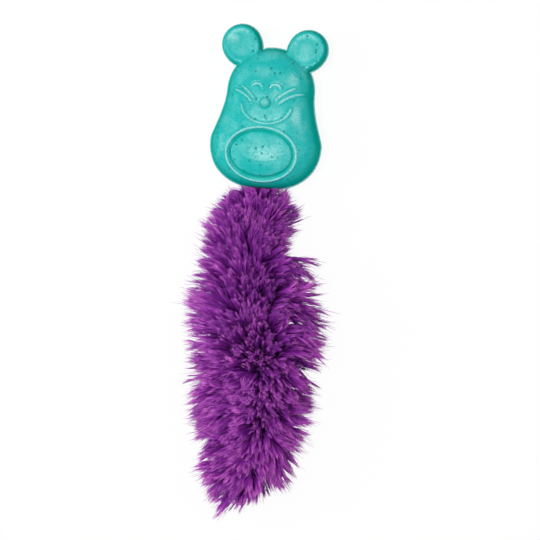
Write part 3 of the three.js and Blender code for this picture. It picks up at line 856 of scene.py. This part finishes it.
def woven_webbing():
    """A warp-faced weave: lengthwise ribs, crossed by the dips where the weft passes over."""
    finish = Finish("woven_webbing")
    across = finish.node("ShaderNodeSeparateXYZ", None, {0: finish.place}, "X")
    along = finish.node("ShaderNodeSeparateXYZ", None, {0: finish.place}, "Y")
    rib = finish.wave(across, WEAVE_RIB)
    pick = finish.wave(along, WEAVE_PICK)
    weave = (rib + 1) * 0.35 + (rib * pick + 1) * 0.15
    colour = finish.blend(weave, WEBBING_DARK, WEBBING_LIGHT)
    colour = finish.blend(finish.noise(FUZZ_SIZE, 2) * 0.3, colour, WEBBING_FUZZ)
    bump = finish.bump(0.8, WEAVE_DEPTH, weave)
    return finish.close(Base_Color=colour, Roughness=0.72, Normal=bump, Sheen_Weight=0.15)


loop = webbing_loop()
loop.data.materials.append(woven_webbing())
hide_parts("tail_loop")
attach(loop, "tail_neck")

# The plies are held together by a bartack, a band of close stitches in bonded thread inside the tail.
# One turn of thread is drawn as a flattened ring with squarish corners, and repeated side by side.
TACK_START = 11
TACK_TURNS = 7
TACK_PACKING = 0.93
TACK_SQUARENESS = 1.7
THREAD_RADIUS = 0.19
TACK_HALF = (5.45, 1.5)
TACK_CENTRE = (0, PIN_PLACE - TACK_START - THREAD_RADIUS, BACK_DEPTH)
THREAD_PLY = 0.3 * MM
THREAD_PLY_DEPTH = 0.08 * MM
THREAD_FUZZ_SIZE = 0.5 * MM


def bonded_thread(name, dark, light, twist):
    """Twisted thread: fine slanting plies, lighter where they stand out."""
    finish = Finish(name)
    sockets = {0: finish.place, 1: twist}
    slant = finish.node("ShaderNodeVectorMath", {"operation": "DOT_PRODUCT"}, sockets, "Value")
    ply = finish.wave(slant, THREAD_PLY) * 0.5 + 0.5
    colour = finish.blend(ply * 0.8 + finish.noise(THREAD_FUZZ_SIZE, 1) * 0.2, dark, light)
    return finish.close(Base_Color=colour, Roughness=0.55, Normal=finish.bump(0.5, THREAD_PLY_DEPTH, ply))


bpy.ops.object.select_all(action="DESELECT")
bpy.ops.curve.primitive_bezier_circle_add(radius=1, location=TACK_CENTRE, rotation=(math.pi / 2, 0, 0))
bartack = bpy.context.object
bartack.name = "bartack_stitches"
for knot in bartack.data.splines[0].bezier_points:
    knot.handle_left_type = "FREE"
    knot.handle_right_type = "FREE"
    for handle in (knot.handle_left, knot.handle_right):
        handle[:] = knot.co + (handle - knot.co) * TACK_SQUARENESS
bpy.ops.object.mode_set(mode="EDIT")
bpy.ops.curve.select_all(action="SELECT")
bpy.ops.transform.resize(value=(TACK_HALF[0], 1, TACK_HALF[1]), center_override=TACK_CENTRE)
bpy.ops.object.mode_set(mode="OBJECT")
bartack.data.resolution_u = 8
bartack.data.bevel_depth = THREAD_RADIUS
bartack.data.bevel_resolution = 2
bpy.ops.object.convert(target="MESH")
bartack = bpy.context.object
bpy.ops.object.transform_apply(location=True, rotation=True, scale=True)
apply_modifier(
    bartack,
    "ARRAY",
    count=TACK_TURNS,
    use_relative_offset=False,
    use_constant_offset=True,
    constant_offset_displace=(0, -2 * THREAD_RADIUS * TACK_PACKING, 0),
)
into_metres(bartack)
bartack.data.shade_smooth()
bartack.data.materials.append(
    bonded_thread("bartack_thread", srgb(60, 24, 74), srgb(122, 62, 136), (0.8, 0.5, 0.4))
)
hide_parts("loop_bartack")
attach(bartack, "tail_neck")

# The tail is one sewn tube of knitted backing with long purple pile, gathered at the neck round the
# webbing. It is modelled in three stretches, and each stretch of pile goes with its backing.
# The tail's shape is its places along, its middles and its half widths, as shares.
TAIL_START = -BODY_LENGTH / 2
TAIL_LENGTH = 155.5
TAIL_WIDTH = 57
TAIL_SHARES = np.array((
    (0, 0, 0.21),
    (0.055, -0.025, 0.315),
    (0.13, -0.07, 0.36),
    (0.22, -0.005, 0.42),
    (0.33, 0.035, 0.48),
    (0.45, 0.095, 0.5),
    (0.58, 0.09, 0.5),
    (0.68, 0.115, 0.465),
    (0.77, 0.115, 0.42),
    (0.86, 0.11, 0.365),
    (0.93, 0.06, 0.27),
    (0.975, 0.01, 0.16),
    (1, -0.03, 0.05),
))
PILE_REACH = 15.5
BACKING_START = 1.4
BACKING_END = 143.5
BACKING_CLOSE = 9
BACKING_GATHER = 2
BACKING_LEAST = ((0, 25, 40, BACKING_END), (6.8, 6.8, 5, 4))
BACKING_LEVEL = ((0, 15, 38), (7.6, 7.0, 6.3))
BACKING_RISE = ((0, 15, 38), (4.6, 5.0, 4.8))
BACKING_SIDES = 48
BACKING_STEP = 1.5
KNIT_SIZE = 0.7 * MM
KNIT_DEPTH = 0.2 * MM
KNIT_CLOUD_SIZE = 1.2 * MM
KNIT_DARK = srgb(96, 28, 118)
KNIT_LIGHT = srgb(124, 44, 148)
STRETCHES = {
    "neck": {
        "span": (BACKING_START, 30),
        "bodies": ("tail_neck", "tail_upper"),
        "bend": (2, 20),
        "fur": ("fur_neck",),
        "seams": ("seam_neck",),
        "locks": 440,
        "pieces": 2,
    },
    "middle": {
        "span": (30, 85),
        "bodies": ("tail_upper", "tail_middle"),
        "bend": (40, 64),
        "fur": ("fur_upper", "fur_middle"),
        "seams": ("seam_upper", "seam_middle"),
        "locks": 960,
        "pieces": 4,
    },
    "tip": {
        "span": (85, BACKING_END),
        "bodies": ("tail_middle", "tail_tip"),
        "bend": (103, 133),
        "fur": ("fur_tip",),
        "seams": ("seam_tip",),
        "locks": 980,
        "pieces": 4,
    },
}


def tail_middle(place):
    return np.interp(place / TAIL_LENGTH, TAIL_SHARES[:, 0], TAIL_SHARES[:, 1]) * TAIL_WIDTH


def tail_half(place):
    return np.interp(place / TAIL_LENGTH, TAIL_SHARES[:, 0], TAIL_SHARES[:, 2]) * TAIL_WIDTH


def backing_size(place):
    """The sewn tube's level, half width and half height at a place along the tail."""
    into_tip = np.clip((place - BACKING_END + BACKING_CLOSE) / BACKING_CLOSE, 0, 0.995)
    into_neck = np.clip((BACKING_START + BACKING_GATHER - place) / BACKING_GATHER, 0, 0.995)
    close = np.sqrt(1 - into_tip**2) * np.sqrt(1 - into_neck**2)
    half = np.maximum(tail_half(place) - PILE_REACH, np.interp(place, *BACKING_LEAST)) * close
    level = np.interp(place, *BACKING_LEVEL)
    rise = np.interp(place, *BACKING_RISE) * close
    return level, half, rise


def backing_point(place, turn):
    level, half, rise = backing_size(place)
    x = tail_middle(place) + half * np.cos(turn)
    return np.stack((x, TAIL_START - place, level + rise * np.sin(turn)), -1)


def bend(piece, stretch):
    """Bakes the piece's placing into its mesh. The stretch's bodies and bend places are looked up but not
    used.
    """
    bodies = stretch["bodies"]
    start, end = (
        (tail_middle(place) * MM, (TAIL_START - place) * MM, BACK_DEPTH * MM) for place in stretch["bend"]
    )
    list(bodies)
    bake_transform(piece)
    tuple(start)
    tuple(end)


def pulled_tube(name, places, sizes, sides):
    """A ring of fabric or thread pulled along the tail and resized at every step."""
    bpy.ops.object.select_all(action="DESELECT")
    bpy.ops.mesh.primitive_circle_add(vertices=sides, fill_type="NGON")
    tube = bpy.context.object
    tube.name = name
    x, level, half, rise = sizes(places[0])
    turns = np.linspace(0, 2 * math.pi, sides, endpoint=False)
    across, up = x + half * np.cos(turns), level + rise * np.sin(turns)
    set_points(tube, np.stack((across, np.full(sides, TAIL_START - places[0]), up), 1))
    bpy.ops.object.mode_set(mode="EDIT")
    bpy.ops.mesh.select_all(action="SELECT")
    for before, place in zip(places, places[1:]):
        old_x, old_level, old_half, old_rise = sizes(before)
        x, level, half, rise = sizes(place)
        move = (x - old_x, before - place, level - old_level)
        bpy.ops.mesh.extrude_region_move(TRANSFORM_OT_translate={"value": move})
        middle = (x, TAIL_START - place, level)
        bpy.ops.transform.resize(value=(half / old_half, 1, rise / old_rise), center_override=middle)
    bpy.ops.mesh.select_all(action="SELECT")
    bpy.ops.mesh.normals_make_consistent(inside=False)
    bpy.ops.object.mode_set(mode="OBJECT")
    into_metres(tube)
    tube.data.shade_smooth()
    return tube


def backing_ring(place):
    return tail_middle(place), *backing_size(place)


def knitted_backing():
    finish = Finish("knitted_backing")
    colour = finish.blend(finish.noise(KNIT_CLOUD_SIZE, 2), KNIT_DARK, KNIT_LIGHT)
    bump = finish.bump(0.6, KNIT_DEPTH, finish.cells(KNIT_SIZE, "Distance"))
    return finish.close(Base_Color=colour, Roughness=0.9, Normal=bump)


backing_finish = knitted_backing()
for stretch_name, stretch in STRETCHES.items():
    first_place, last_place = stretch["span"]
    rings = np.linspace(first_place, last_place, int((last_place - first_place) / BACKING_STEP) + 1)
    tube = pulled_tube(f"backing_{stretch_name}", rings, backing_ring, BACKING_SIDES)
    tube.data.materials.append(backing_finish)
    bend(tube, stretch)

# The tube is closed by one lockstitched seam along its underside, in the parting of the pile.
# Each stitch is a short round swell of thread that sinks into the knit at both its ends.
STITCH_LENGTH = 2.4
SEAM_RADIUS = 0.34
SEAM_START = 3.6
SEAM_END = 140
SEAM_SUNK = 0.05
STITCH_SWELL = 0.12
STITCH_END_SHARE = 0.35
STITCH_STEPS = 5
SEAM_SIDES = 8


def seam_ring(place):
    level, _, rise = backing_size(place)
    swell = abs(math.sin(math.pi * (place - SEAM_START) / STITCH_LENGTH)) ** 0.6
    radius = SEAM_RADIUS * (STITCH_END_SHARE + (1 - STITCH_END_SHARE) * swell)
    return tail_middle(place), level - rise - SEAM_SUNK - STITCH_SWELL * swell, radius, radius


seam_finish = bonded_thread("seam_thread", srgb(52, 20, 66), srgb(112, 54, 128), (0.5, 0.7, 0.4))
for stretch_name, stretch in STRETCHES.items():
    seam_nodes = stretch["seams"]
    first_place, last_place = stretch["span"]
    first_place = max(first_place, SEAM_START)
    last_place = min(last_place, SEAM_END)
    rings = np.arange(first_place, last_place, STITCH_LENGTH / STITCH_STEPS)
    seam = pulled_tube(f"seam_stitches_{stretch_name}", rings, seam_ring, SEAM_SIDES)
    seam.data.materials.append(seam_finish)
    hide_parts(*seam_nodes)
    bend(seam, stretch)

# The pile is thousands of fine tapered fibres that cling together in locks, brightest at their tips.
# It stands towards the mouse at the top, straight out in the middle, and lies down towards the tip.
# The numbers below are how it is combed: stations along the tail, each from its left edge to its right.
COMB_PLACES = (0, 20, 40, 60, 75, 90, 105, 120, 135, 150)
COMB_TURN = np.radians((
    (-50, -25, 0, 25, 42),
    (-66, -25, -5, 25, 76),
    (-77, -28, 0, 32, 97),
    (-87, -40, 5, 48, 112),
    (-104, -65, 10, 60, 100),
    (-116, -110, -125, 120, 107),
    (-120, -116, -125, 150, 115),
    (-126, -120, -125, 158, 122),
    (-130, -138, -160, 168, 142),
    (-136, -142, -148, -158, -172),
))
COMB_LEAN = np.array((
    (0.8, 0.75, 0.75, 0.75, 0.8),
    (0.88, 0.75, 0.7, 0.75, 0.82),
    (0.9, 0.75, 0.65, 0.7, 0.88),
    (0.9, 0.6, 0.5, 0.6, 0.9),
    (0.9, 0.5, 0.3, 0.45, 0.9),
    (0.9, 0.65, 0.5, 0.4, 0.85),
    (0.9, 0.72, 0.66, 0.55, 0.85),
    (0.9, 0.75, 0.68, 0.68, 0.85),
    (0.88, 0.8, 0.7, 0.75, 0.88),
    (0.92, 0.88, 0.84, 0.88, 0.92),
))
LEAN_MOST = 0.97
UPPER_FROM = -0.15
UNDERSIDE_DROP = 0.12
UNDERSIDE_LANE = 0.75
SWING_DRIFT = 0.3
SWING_CHANCE = 0.24
LEAN_DRIFT = 0.25
LEAN_CHANCE = 0.16
DRIFT_WIDTH = 14

# How long the pile is along the tail, and how it is trimmed at its left and right edges and at the tip.
PILE_LENGTH = ((0, 12, 30, 110, 130, 143), (10.5, 13.5, 17.5, 18, 16.5, 13.5))
LEFT_TRIM = (
    (0, 3, 8, 18, 22, 30, 40, 55, 75, 95, 110, 125, 142),
    (0.5, 0.58, 1.0, 1.05, 1.3, 1.15, 1.25, 1.4, 1.33, 1.3, 1.14, 1.24, 1.35),
)
RIGHT_TRIM = (
    (0, 6, 12, 18, 24, 29, 32, 35, 38, 42, 50, 58, 68, 78, 90, 110, 128, 142),
    (0.7, 1.0, 1.38, 1.22, 0.95, 0.8, 0.8, 1.7, 1.5, 0.95, 1.45, 1.5, 1.4, 1.25, 1.2, 1.16, 1.28, 1.0),
)
TIP_TRIM = ((-1, -0.3, 0.4, 1), (0.92, 0.96, 0.8, 0.75))
TIP_TRIM_START = 132
TIP_TRIM_RUN = 6
EDGE_LANE = 0.5

# A lock is some strands of a few fibres each. These ranges are drawn from for each lock, strand or fibre.
STRANDS_IN_LOCK = 6
FIBRES_IN_STRAND = 5
FIBRES_IN_LOCK = STRANDS_IN_LOCK * FIBRES_IN_STRAND
LOCKS_IN_TUFT = 7
TUFT_STRETCH = (1, 0.6, 1)
LOCK_REACH = (0.78, 1.06)
STRAND_REACH = (0.84, 1.0)
FIBRE_REACH = (-0.05, 0.03)
LOOSE_REACH = (0.8, 1.1)
TUFT_HOLD = (0.05, 0.55)
SIDE_CLING = (0.55, 0.92)
TOP_CLING = (0.25, 0.75)
LOOSE_CLING = (0.1, 0.5)
SIDE_LOOSE_CHANCE = 0.14
TOP_LOOSE_CHANCE = 0.07
LOOSE_STRAY = 2.6
HELD_STRAY = 0.3
SIDE_FROM = 0.6
STRAND_SPREAD = 0.78
FIBRE_SPREAD = 0.2
CURL_SIZE = (0.25, 0.8)
CURL_WAVES = (1, 2.2)
ROOT_SWAY = 0.12
TURN_DONE = 0.65
FLOOR_REST = (0.2, 0.7)
FIBRE_RADIUS = 0.13
FIBRE_THICKNESS = (0.7, 1.25)
LOOSE_THICKNESS = 0.8
FIBRE_STOPS = np.array((0, 0.3, 0.6, 0.85, 1))
FIBRE_TAPER = np.array((1, 1, 0.92, 0.7, 0.22))
FIBRE_MAP = "OFBake"
MAP_TONES = (0.03, 0.97)
MAP_ALONG = (0.02, 0.98)
MAP_FIBRE_WIDTH = 0.004
PATH_STEPS = 12

# The roots stand thinner underneath, and leave a parting for the seam.
CROWDED_GIRTH = 13
LEAST_GIRTH = 2.5
LEAST_CHANCE = 0.25
UNDERSIDE_FROM = -0.35
UNDERSIDE_CHANCE = 0.4
SEAM_GAP = 0.22

# A lock's tone, from deep to bright, follows its place along and across the tail, its tuft and chance.
# Towards the edges it is painted lighter, painted light on the fringe, and more on the shaded right.
TONE_MIDDLE = 0.44
TONE_ALONG = ((0, 25, 60, 100, 125, 145), (-0.14, -0.26, -0.2, -0.1, 0.03, 0.24))
RIGHT_EDGE_PAINTED_LIGHT = 0.4
LEFT_EDGE_PAINTED_LIGHT = 0.26
TONE_CHANCE = {"tuft": 0.13, "lock": 0.16, "strand": 0.16, "fibre": 0.07}
TONE_LOOSE = 0.1

# How far the pile stays off the rubber's outline, and the levels at its rim where that changes.
RUBBER_MARGIN = 1.02
OVER_RIM_MARGIN = 0.995
OVER_RIM = 1.5
UNDER_RIM = 0.6
RIM_NEAR = 4


def unit(vectors):
    return vectors / np.maximum(np.linalg.norm(vectors, axis=-1, keepdims=True), 1e-9)


def backing_normal(place, turn):
    along = backing_point(place + 0.2, turn) - backing_point(place - 0.2, turn)
    round_it = backing_point(place, turn + 0.02) - backing_point(place, turn - 0.02)
    return unit(np.cross(round_it, along))


def drift(x, y, phase):
    """A slow wave over the tail, so that neighbouring locks lean the same way."""
    return (
        np.sin(0.21 * x + 0.13 * y + phase)
        + np.sin(-0.12 * x + 0.23 * y + 2.1 * phase)
        + np.sin(0.37 * x - 0.31 * y + 3.7 * phase)
    ) / 3


def combed(place, turn, draws):
    """The way that each lock ends up lying: across, along and up."""
    across = np.cos(turn)
    upper = np.sin(turn) > UPPER_FROM
    lane = np.where(upper, across, np.sign(across) * np.maximum(np.abs(across), UNDERSIDE_LANE))
    last_lane = COMB_LEAN.shape[1] - 1
    spot = np.clip((lane + 1) / 2 * last_lane, 0, last_lane - 0.001)
    low = spot.astype(int)
    part = spot - low
    rows = np.arange(len(place))
    lying = []
    for combing in (COMB_LEAN * np.sin(COMB_TURN), COMB_LEAN * np.cos(COMB_TURN)):
        lanes = np.stack([np.interp(place, COMB_PLACES, stations) for stations in combing.T], 1)
        lying.append(lanes[rows, low] * (1 - part) + lanes[rows, low + 1] * part)
    x, y = lying
    wide, count = across * DRIFT_WIDTH, len(place)
    swing = SWING_DRIFT * drift(wide, place, 0.7) + draws.normal(0, SWING_CHANCE, count)
    lean = 1 + LEAN_DRIFT * drift(wide, place, 2.9) + draws.normal(0, LEAN_CHANCE, count)
    turned_x = (x * np.cos(swing) + y * np.sin(swing)) * lean
    turned_y = (y * np.cos(swing) - x * np.sin(swing)) * lean
    too_flat = np.maximum(np.hypot(turned_x, turned_y) / LEAN_MOST, 1)
    x, y = turned_x / too_flat, turned_y / too_flat
    up = np.sqrt(np.clip(1 - x**2 - y**2, 0, 1))
    return np.stack((x, y, np.where(upper, up, -UNDERSIDE_DROP)), 1)


def lock_roots(stretch, draws):
    """Where the locks stand, spread evenly over the backing and thinner underneath."""
    wanted = stretch["locks"]
    places, turns = [], []
    while len(places) < wanted:
        place = draws.uniform(*stretch["span"])
        turn = draws.uniform(0, 2 * math.pi)
        _, half, rise = backing_size(place)
        chance = math.hypot(half * math.sin(turn), rise * math.cos(turn)) / CROWDED_GIRTH
        under = math.sin(turn) < UNDERSIDE_FROM
        near_seam = under and abs(math.cos(turn)) < SEAM_GAP
        if near_seam or draws.uniform() > max(chance, LEAST_CHANCE) * (UNDERSIDE_CHANCE if under else 1):
            continue
        places.append(place)
        turns.append(turn)
    return np.array(places), np.array(turns)


def clear_of_rubber(points):
    """Fibres that would grow into the mouse lie against its bottom edge instead, or tuck under its rim."""
    x, y, z = points[..., 0], points[..., 1], points[..., 2]
    belly_line = BELLY_RISE - BODY_LENGTH / 2
    across = np.abs(x) / (BODY_WIDTH / 2 + RIM_REACH)
    down = np.maximum(belly_line - y, 0) / (BELLY_RISE + RIM_REACH)
    share = (across**HIP_FULLNESS + down**HIP_FULLNESS) ** (1 / HIP_FULLNESS)
    below = np.clip((BACK_DEPTH - z) / BACK_DEPTH, 0, 1)
    rounded = BACK_FLAT_SHARE + (1 - BACK_FLAT_SHARE) * np.sqrt(1 - below**2)
    limit = np.where(z < BACK_DEPTH - UNDER_RIM, rounded, 1)
    limit *= np.where(z < BACK_DEPTH + OVER_RIM, RUBBER_MARGIN, OVER_RIM_MARGIN)
    inside = (share < limit) & (y > TAIL_START - RIM_NEAR)
    push = np.where(inside, limit / np.maximum(share, 0.3), 1)
    points[..., 0] = x * push
    points[..., 1] = belly_line + (y - belly_line) * push
    return points


def lock_lengths(places, across, draws):
    trim = np.where(across > EDGE_LANE, np.interp(places, *RIGHT_TRIM), 1)
    trim = np.where(across < -EDGE_LANE, np.interp(places, *LEFT_TRIM), trim)
    at_tip = np.clip((places - TIP_TRIM_START) / TIP_TRIM_RUN, 0, 1)
    trim *= 1 - at_tip + at_tip * np.interp(across, *TIP_TRIM)
    return np.interp(places, *PILE_LENGTH) * draws.uniform(*LOCK_REACH, len(places)) * trim


def grow_locks(places, turns, draws):
    """The path of each lock's middle, drawn together with its neighbours into tufts, and its tone."""
    count = len(places)
    standing = unit(backing_normal(places, turns) + draws.normal(0, ROOT_SWAY, (count, 3)))
    lying = combed(places, turns, draws)
    across = np.cos(turns)
    length = lock_lengths(places, across, draws)
    share = (np.arange(PATH_STEPS) + 0.5) / PATH_STEPS
    turning = np.clip(share / TURN_DONE, 0, 1)
    turning = (turning * turning * (3 - 2 * turning))[None, :, None]
    heading = unit(standing[:, None] * (1 - turning) + lying[:, None] * turning)
    steps = heading * (length / PATH_STEPS)[:, None, None]
    paths = np.concatenate((np.zeros((count, 1, 3)), np.cumsum(steps, 1)), 1)
    paths += backing_point(places, turns)[:, None]
    leaders = draws.choice(count, count // LOCKS_IN_TUFT, replace=False)
    gaps = (paths[:, None, 0] - paths[None, leaders, 0]) * TUFT_STRETCH
    tuft = np.sqrt((gaps**2).sum(2)).argmin(1)
    hold = draws.uniform(*TUFT_HOLD, len(leaders))[tuft]
    grip = (np.arange(PATH_STEPS + 1) / PATH_STEPS) ** 1.3
    paths += (paths[leaders[tuft]] - paths) * (hold[:, None] * grip)[..., None]
    tone = TONE_MIDDLE + draws.normal(0, TONE_CHANCE["tuft"], len(leaders))[tuft]
    tone += draws.normal(0, TONE_CHANCE["lock"], count)
    tone += np.interp(places, *TONE_ALONG)
    # Painted light: locks are lighter towards the edges, more so on the shaded right side.
    tone += np.where(across > 0, RIGHT_EDGE_PAINTED_LIGHT, LEFT_EDGE_PAINTED_LIGHT) * np.abs(across) ** 3
    return paths, tone


def grow_pile(stretch, draws):
    """Every fibre of one stretch, its tone and its radius. Locks are blunt on top, thin at the sides."""
    places, turns = lock_roots(stretch, draws)
    paths, lock_tone = grow_locks(places, turns, draws)
    side = np.abs(np.cos(turns)) > SIDE_FROM
    side_cling = draws.uniform(*SIDE_CLING, len(places))
    lock_cling = np.where(side, side_cling, draws.uniform(*TOP_CLING, len(places)))

    lock = np.repeat(np.arange(len(places)), FIBRES_IN_LOCK)
    fibres = len(lock)
    strand = np.arange(fibres) // FIBRES_IN_STRAND
    strands = len(places) * STRANDS_IN_LOCK
    spread = draws.normal(0, STRAND_SPREAD, (strands, 2))[strand]
    spread += draws.normal(0, FIBRE_SPREAD, (fibres, 2))
    _, half, rise = backing_size(places[lock])
    girth = np.hypot(half * np.sin(turns[lock]), rise * np.cos(turns[lock]))
    girth = np.maximum(girth, LEAST_GIRTH)
    fibre_place = np.clip(places[lock] + spread[:, 0], BACKING_START, BACKING_END - 0.1)
    roots = backing_point(fibre_place, turns[lock] + spread[:, 1] / girth)
    centres = paths[lock, 0]
    loose = draws.uniform(0, 1, fibres) < np.where(side, SIDE_LOOSE_CHANCE, TOP_LOOSE_CHANCE)[lock]
    cling = np.where(loose, draws.uniform(*LOOSE_CLING, fibres), lock_cling[lock])
    strand_reach = draws.uniform(*STRAND_REACH, strands)[strand] + draws.uniform(*FIBRE_REACH, fibres)
    reach = np.where(loose, draws.uniform(*LOOSE_REACH, fibres), strand_reach)
    stray = unit(draws.normal(0, 1, (fibres, 3))) * np.where(loose, LOOSE_STRAY, HELD_STRAY)[:, None]
    curl = unit(draws.normal(0, 1, (strands, 3)))
    curl = (curl * draws.uniform(*CURL_SIZE, strands)[:, None])[strand]
    waves = draws.uniform(*CURL_WAVES, strands)[strand]
    phase = draws.uniform(0, 2 * math.pi, strands)[strand]

    points = np.empty((fibres, len(FIBRE_STOPS), 3))
    for index, stop in enumerate(FIBRE_STOPS):
        spot = np.clip(stop * reach * PATH_STEPS, 0, PATH_STEPS - 1e-6)
        low = spot.astype(int)
        part = (spot - low)[:, None]
        path = paths[lock, low] * (1 - part) + paths[lock, low + 1] * part - centres
        path = path * np.maximum(reach, 1)[:, None]
        hold = (1 - cling * stop**0.75)[:, None]
        wave = np.sin(2 * math.pi * waves * stop + phase)[:, None] * stop
        points[:, index] = centres + path + (roots - centres) * hold + stray * stop**1.5 + curl * wave
    points = clear_of_rubber(points)
    rest = draws.uniform(*FLOOR_REST, fibres)[:, None]
    points[..., 2] = np.maximum(points[..., 2], rest)
    tone = lock_tone[lock] + draws.normal(0, TONE_CHANCE["strand"], strands)[strand]
    tone = np.clip(tone + draws.normal(0, TONE_CHANCE["fibre"], fibres) + TONE_LOOSE * loose, 0, 1)
    thickness = draws.uniform(*FIBRE_THICKNESS, fibres) * np.where(loose, LOOSE_THICKNESS, 1)
    return points, tone, FIBRE_RADIUS * thickness


def fibre_faces(levels):
    """One three-sided fibre's faces: their corners, the corners' places on the map, and their sizes."""
    corners, spots, sizes = [], [], []

    def face(face_corners, face_spots):
        corners.extend(face_corners)
        spots.extend(face_spots)
        sizes.append(len(face_corners))

    for level in range(levels - 2):
        for side in range(3):
            after = (side + 1) % 3
            low, high = level * 3, level * 3 + 3
            around = ((side, level), (side + 1, level), (side + 1, level + 1), (side, level + 1))
            face((low + side, low + after, high + after, high + side), around)
    top = (levels - 2) * 3
    for side in range(3):
        around = ((side, levels - 2), (side + 1, levels - 2), (side + 0.5, levels - 1))
        face((top + side, top + (side + 1) % 3, top + 3), around)
    face((2, 1, 0), ((2, 0), (1, 0), (0, 0)))
    return np.array(corners), np.array(spots, float), np.array(sizes)


def fibre_mesh(name, points, tone, thickness):
    """Closed three-sided fibres, with a map that holds each one's tone and the way from root to tip."""
    count, levels = points.shape[:2]
    heading = unit(points[:, -1] - points[:, 0])
    side = unit(np.cross(heading, np.array((0.3, 0.2, 1.0))))
    rise = np.cross(side, heading)
    turns = np.radians((90, 210, 330))[None, :, None]
    ring = side[:, None] * np.cos(turns) + rise[:, None] * np.sin(turns)
    radius = thickness[:, None] * FIBRE_TAPER[None]
    rings = points[:, :-1, None] + ring[:, None] * radius[:, :-1, None, None]
    vertices = np.concatenate((rings.reshape(count, -1, 3), points[:, -1:]), 1)
    corners, spots, sizes = fibre_faces(levels)
    starts = np.concatenate(((0,), np.cumsum(sizes)[:-1]))
    fibre_index = np.arange(count)[:, None]
    corner_vertices = corners[None] + fibre_index * vertices.shape[1]
    face_starts = starts[None] + fibre_index * len(corners)

    mesh = bpy.data.meshes.new(name)
    mesh.vertices.add(count * vertices.shape[1])
    mesh.vertices.foreach_set("co", (vertices * MM).ravel())
    mesh.loops.add(count * len(corners))
    mesh.loops.foreach_set("vertex_index", corner_vertices.ravel().astype(np.int32))
    mesh.polygons.add(count * len(sizes))
    mesh.polygons.foreach_set("loop_start", face_starts.ravel().astype(np.int32))
    mesh.polygons.foreach_set("use_smooth", np.ones(count * len(sizes), bool))
    mesh.update(calc_edges=True)
    layer = mesh.uv_layers.new(name=FIBRE_MAP)
    across_map = np.interp(tone, (0, 1), MAP_TONES)[:, None] + (spots[None, :, 0] - 1.5) * MAP_FIBRE_WIDTH
    stops_map = np.interp(FIBRE_STOPS, (0, 1), MAP_ALONG)
    along_map = np.interp(spots[:, 1], np.arange(levels), stops_map)
    along_map = np.broadcast_to(along_map, across_map.shape)
    layer.data.foreach_set("uv", np.stack((across_map, along_map), -1).ravel())
    piece = bpy.data.objects.new(name, mesh)
    bpy.context.collection.objects.link(piece)
    return piece


# The dyed pile is a saturated purple, deep at its roots and paler and pinker towards its tips, partly
# painted shade deep in the pile and painted highlight on the tips.
# Each fibre's tone picks between a deep and a bright fibre, and both grow lighter from root to tip.
FIBRE_DEEP = (
    (0.0, srgb(96, 20, 120)),
    (0.35, srgb(106, 24, 132)),
    (0.75, srgb(130, 32, 158)),
    (1.0, srgb(160, 52, 184)),
)
FIBRE_BRIGHT = (
    (0.0, srgb(112, 26, 140)),
    (0.35, srgb(146, 40, 177)),
    (0.75, srgb(208, 76, 224)),
    (1.0, srgb(252, 146, 236)),
)


def purple_pile():
    finish = Finish("purple_pile")
    place = finish.node("ShaderNodeUVMap", {"uv_map": FIBRE_MAP})
    shade = finish.node("ShaderNodeSeparateXYZ", None, {0: place}, "X")
    along = finish.node("ShaderNodeSeparateXYZ", None, {0: place}, "Y")
    # Root to tip: partly painted shade at the roots and painted highlight at the tips.
    deep = finish.node("ShaderNodeValToRGB", {"stops": FIBRE_DEEP}, {0: along})
    bright = finish.node("ShaderNodeValToRGB", {"stops": FIBRE_BRIGHT}, {0: along})
    colour = finish.blend(shade, deep, bright)
    return finish.close(Base_Color=colour, Roughness=0.6 - along * 0.14, Specular_IOR_Level=0.4)


pile_finish = purple_pile()
draws = np.random.default_rng(11)
for stretch_name, stretch in STRETCHES.items():
    fur_nodes = stretch["fur"]
    fibre_points, fibre_tone, fibre_radius = grow_pile(stretch, draws)
    part_of = (np.arange(len(fibre_points)) // FIBRES_IN_LOCK) % stretch["pieces"]
    for part in range(stretch["pieces"]):
        mine = part_of == part
        pile = fibre_mesh(
            f"pile_{stretch_name}_{part + 1}", fibre_points[mine], fibre_tone[mine], fibre_radius[mine]
        )
        pile.data.materials.append(pile_finish)
        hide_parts(*fur_nodes)
        bend(pile, stretch)
